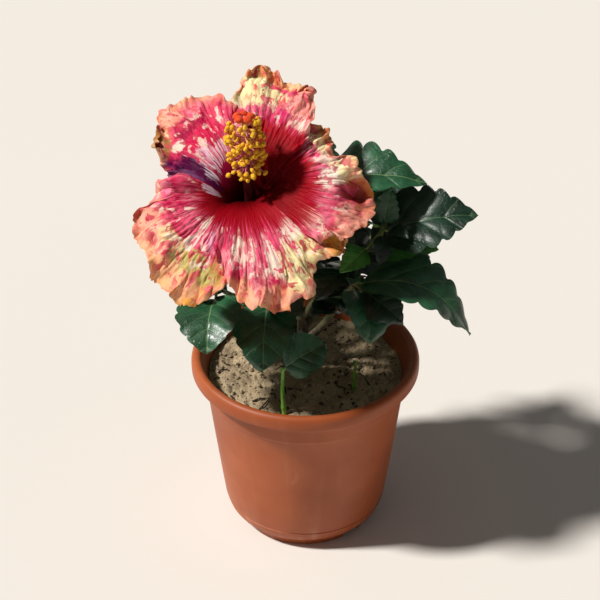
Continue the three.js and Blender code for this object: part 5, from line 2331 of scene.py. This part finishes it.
@dataclass
class Calyx:
    """The calyx: a ribbed cup with five pointed lobes, a ring of narrow bracts and the stalk."""

    cup: tuple[Pair, ...] = (
        (0, -8), (2.6, -7.9), (4.2, -7.2), (5.8, -5.6), (7.4, -3), (8.6, -0.8), (9.6, 1.5), (11, 4),
        (12.6, 6.5), (14.2, 8.9))
    lobes: int = 5
    bracts: int = 7

    def shell(self, heap: Heap) -> None:
        """Adds the cup, whose rim rises in five points.

        Args:
            heap: Where it goes.
        """
        columns = 121
        angle = np.linspace(0, TURN, columns)
        point = np.abs(np.cos(self.lobes * (angle + 0.63) / 2)) ** 1.3
        outline = Curve([(r, 0, h) for r, h in self.cup])
        ways = np.linspace(0, 1, 34)
        sketch = outline.along(ways)
        rib = 0.28 * np.cos(self.lobes * 2 * angle)
        radius = sketch[:, 0][:, None] + rib[None, :] * smooth(ways, 0.15, 0.6)[:, None]
        height = sketch[:, 2][:, None] + 0 * angle
        tip = smooth(ways, 0.62, 1.0)[:, None] * point[None, :]
        radius, height = radius + 5.0 * tip, height + 9.5 * tip
        outer = BLOOM.point(angle[None, :], radius, height)
        wall = 1 - smooth(ways, 0.93, 1.0)[:, None]
        inner = BLOOM.point(angle[None, :], np.maximum(0, radius - 0.8 * wall), height + 0.5 * wall)
        heap.sheet(outer, inner)

    def bract(self, heap: Heap, number: int) -> None:
        """Adds one of the narrow bracts under the cup.

        Args:
            heap: Where it goes.
            number: Which one it is.
        """
        angle = TURN * number / self.bracts + 0.2
        root, end = BLOOM.point(angle, 3.6, -7.6), BLOOM.point(angle, 15.5, -1.0)
        leaf = Leaf(root, end, (13.4, 2.6), 0.0, -0.12)
        leaf.blade(heap, 0, 14, 7)

    def build(self) -> list[Piece]:
        """Makes calyx and stalk.

        Returns:
            The two pieces.
        """
        heap = Heap()
        self.shell(heap)
        cup = heap.build("calyx_cup", [SEPAL_GREEN], "green_stem")
        heap = Heap()
        for number in range(self.bracts):
            self.bract(heap, number)
        bracts = heap.build("calyx_bracts", list(Tone.BRIGHT.value), "green_stem", "Blade")
        heap = Heap()
        foot = LIMB_BY_NODE["bough_leader"].path[-1]
        path = [foot, (-33.5, -2, 251), BLOOM.point(0, 0, -20), BLOOM.point(0, 0, -7.8)]

        def radius(way: Array) -> Array:
            """The stalk's radius, with its joint and its widening under the calyx."""
            return 2.0 + 0.7 * np.exp(-(((way - 0.62) / 0.02) ** 2)) + 1.0 * smooth(way, 0.9, 1.0)

        tube(heap, Curve(path), radius, 18, 60, relief=lambda ring, _: 0.1 * Ripple(71, 3, 2).at(ring))
        stalk = heap.build("bloom_stalk", [SEPAL_GREEN], "green_stem")
        return [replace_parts(cup, "calyx"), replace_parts(bracts, "calyx"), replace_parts(stalk, "flower_stalk")]


# ---------------- studio
@dataclass
class Studio:
    """Floor, light and camera."""

    target: Point = (-4.0, 0.0, 188.4)
    distance: float = 1200.0
    elevation: float = 33.0
    lens: float = 98.64
    sun_from: Point = (-1.0, -0.2, 1.25)
    sun_strength: float = 4.7
    sun_softness: float = 6.0
    sky: float = 0.13

    def floor(self) -> None:
        """Lays the floor."""
        bpy.ops.mesh.primitive_plane_add(size=8.0, location=(0, 1.2, 0))
        floor = bpy.context.object
        floor.name = "studio_floor"
        bpy.ops.object.transform_apply(location=True, rotation=False, scale=False)
        floor.data.materials.append(FloorPaint().material())

    def light(self) -> None:
        """Sets a soft key light from the left and an even sky."""
        lamp = bpy.data.lights.new("key_light", "SUN")
        lamp.energy, lamp.angle = self.sun_strength, math.radians(self.sun_softness)
        lamp.color = (1.0, 0.975, 0.94)
        thing = shown("key_light", lamp)
        away = unit(np.array(self.sun_from))
        thing.rotation_euler = (math.acos(away[2]), 0, math.atan2(away[1], away[0]) + math.pi / 2)
        world = bpy.data.worlds.new("studio_sky")
        world.use_nodes = True
        backdrop = world.node_tree.nodes["Background"]
        backdrop.inputs["Color"].default_value = (1.0, 0.985, 0.96, 1)
        backdrop.inputs["Strength"].default_value = self.sky
        bpy.context.scene.world = world

    def camera(self) -> None:
        """Sets up the camera."""
        camera = bpy.data.cameras.new("studio_camera")
        camera.lens, camera.sensor_width = self.lens, 36.0
        thing = shown("studio_camera", camera)
        angle = math.radians(self.elevation)
        back = np.array([0, -math.cos(angle), math.sin(angle)])
        thing.location = (np.array(self.target) + back * self.distance) * MM
        thing.rotation_euler = (math.pi / 2 - angle, 0, 0)
        bpy.context.scene.camera = thing
        bpy.context.scene.view_settings.view_transform = "Standard"

    def build(self) -> None:
        """Sets the studio up."""
        self.camera()
        self.floor()
        self.light()


def main() -> None:
    """Builds the plant, its pot and the studio, in order."""
    logging.basicConfig(level=logging.INFO, format="%(message)s")
    Studio().build()
    soil = Soil()
    pieces = [Pot().build(), soil.bed(), soil.grit(), soil.litter(), Framework().build()]
    for mass in FOLIAGE:
        pieces += mass.build()
    pieces += YoungShoot(
        "young_shoot", ((-15.2, -55.3, 124), (-16.5, -55, 146), (-16, -54, 166)), (1.7, 1.2),
        (LeafPlan(0.97, (14, -50, 184), (34, 33), 38, Tone.GREEN, 0.12, 1.0),)).build()
    pieces += YoungShoot(
        "sprout", ((35.8, -24.6, 124), (36, -25, 140), (37, -24, 151)), (1.5, 0.9),
        (LeafPlan(0.55, (43, -27, 148), (6, 3.4), 0, Tone.BRIGHT),)).build()
    pieces += Calyx().build()
    pieces += [petal.build() for petal in PETALS]
    pieces.append(Column().build())
    for piece in pieces:
        log.info("%s: %d faces", piece.name, len(piece.data.polygons))
    log.info("in all %d faces", sum(len(piece.data.polygons) for piece in pieces))
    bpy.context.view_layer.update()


if __name__ == "__main__":
    main()
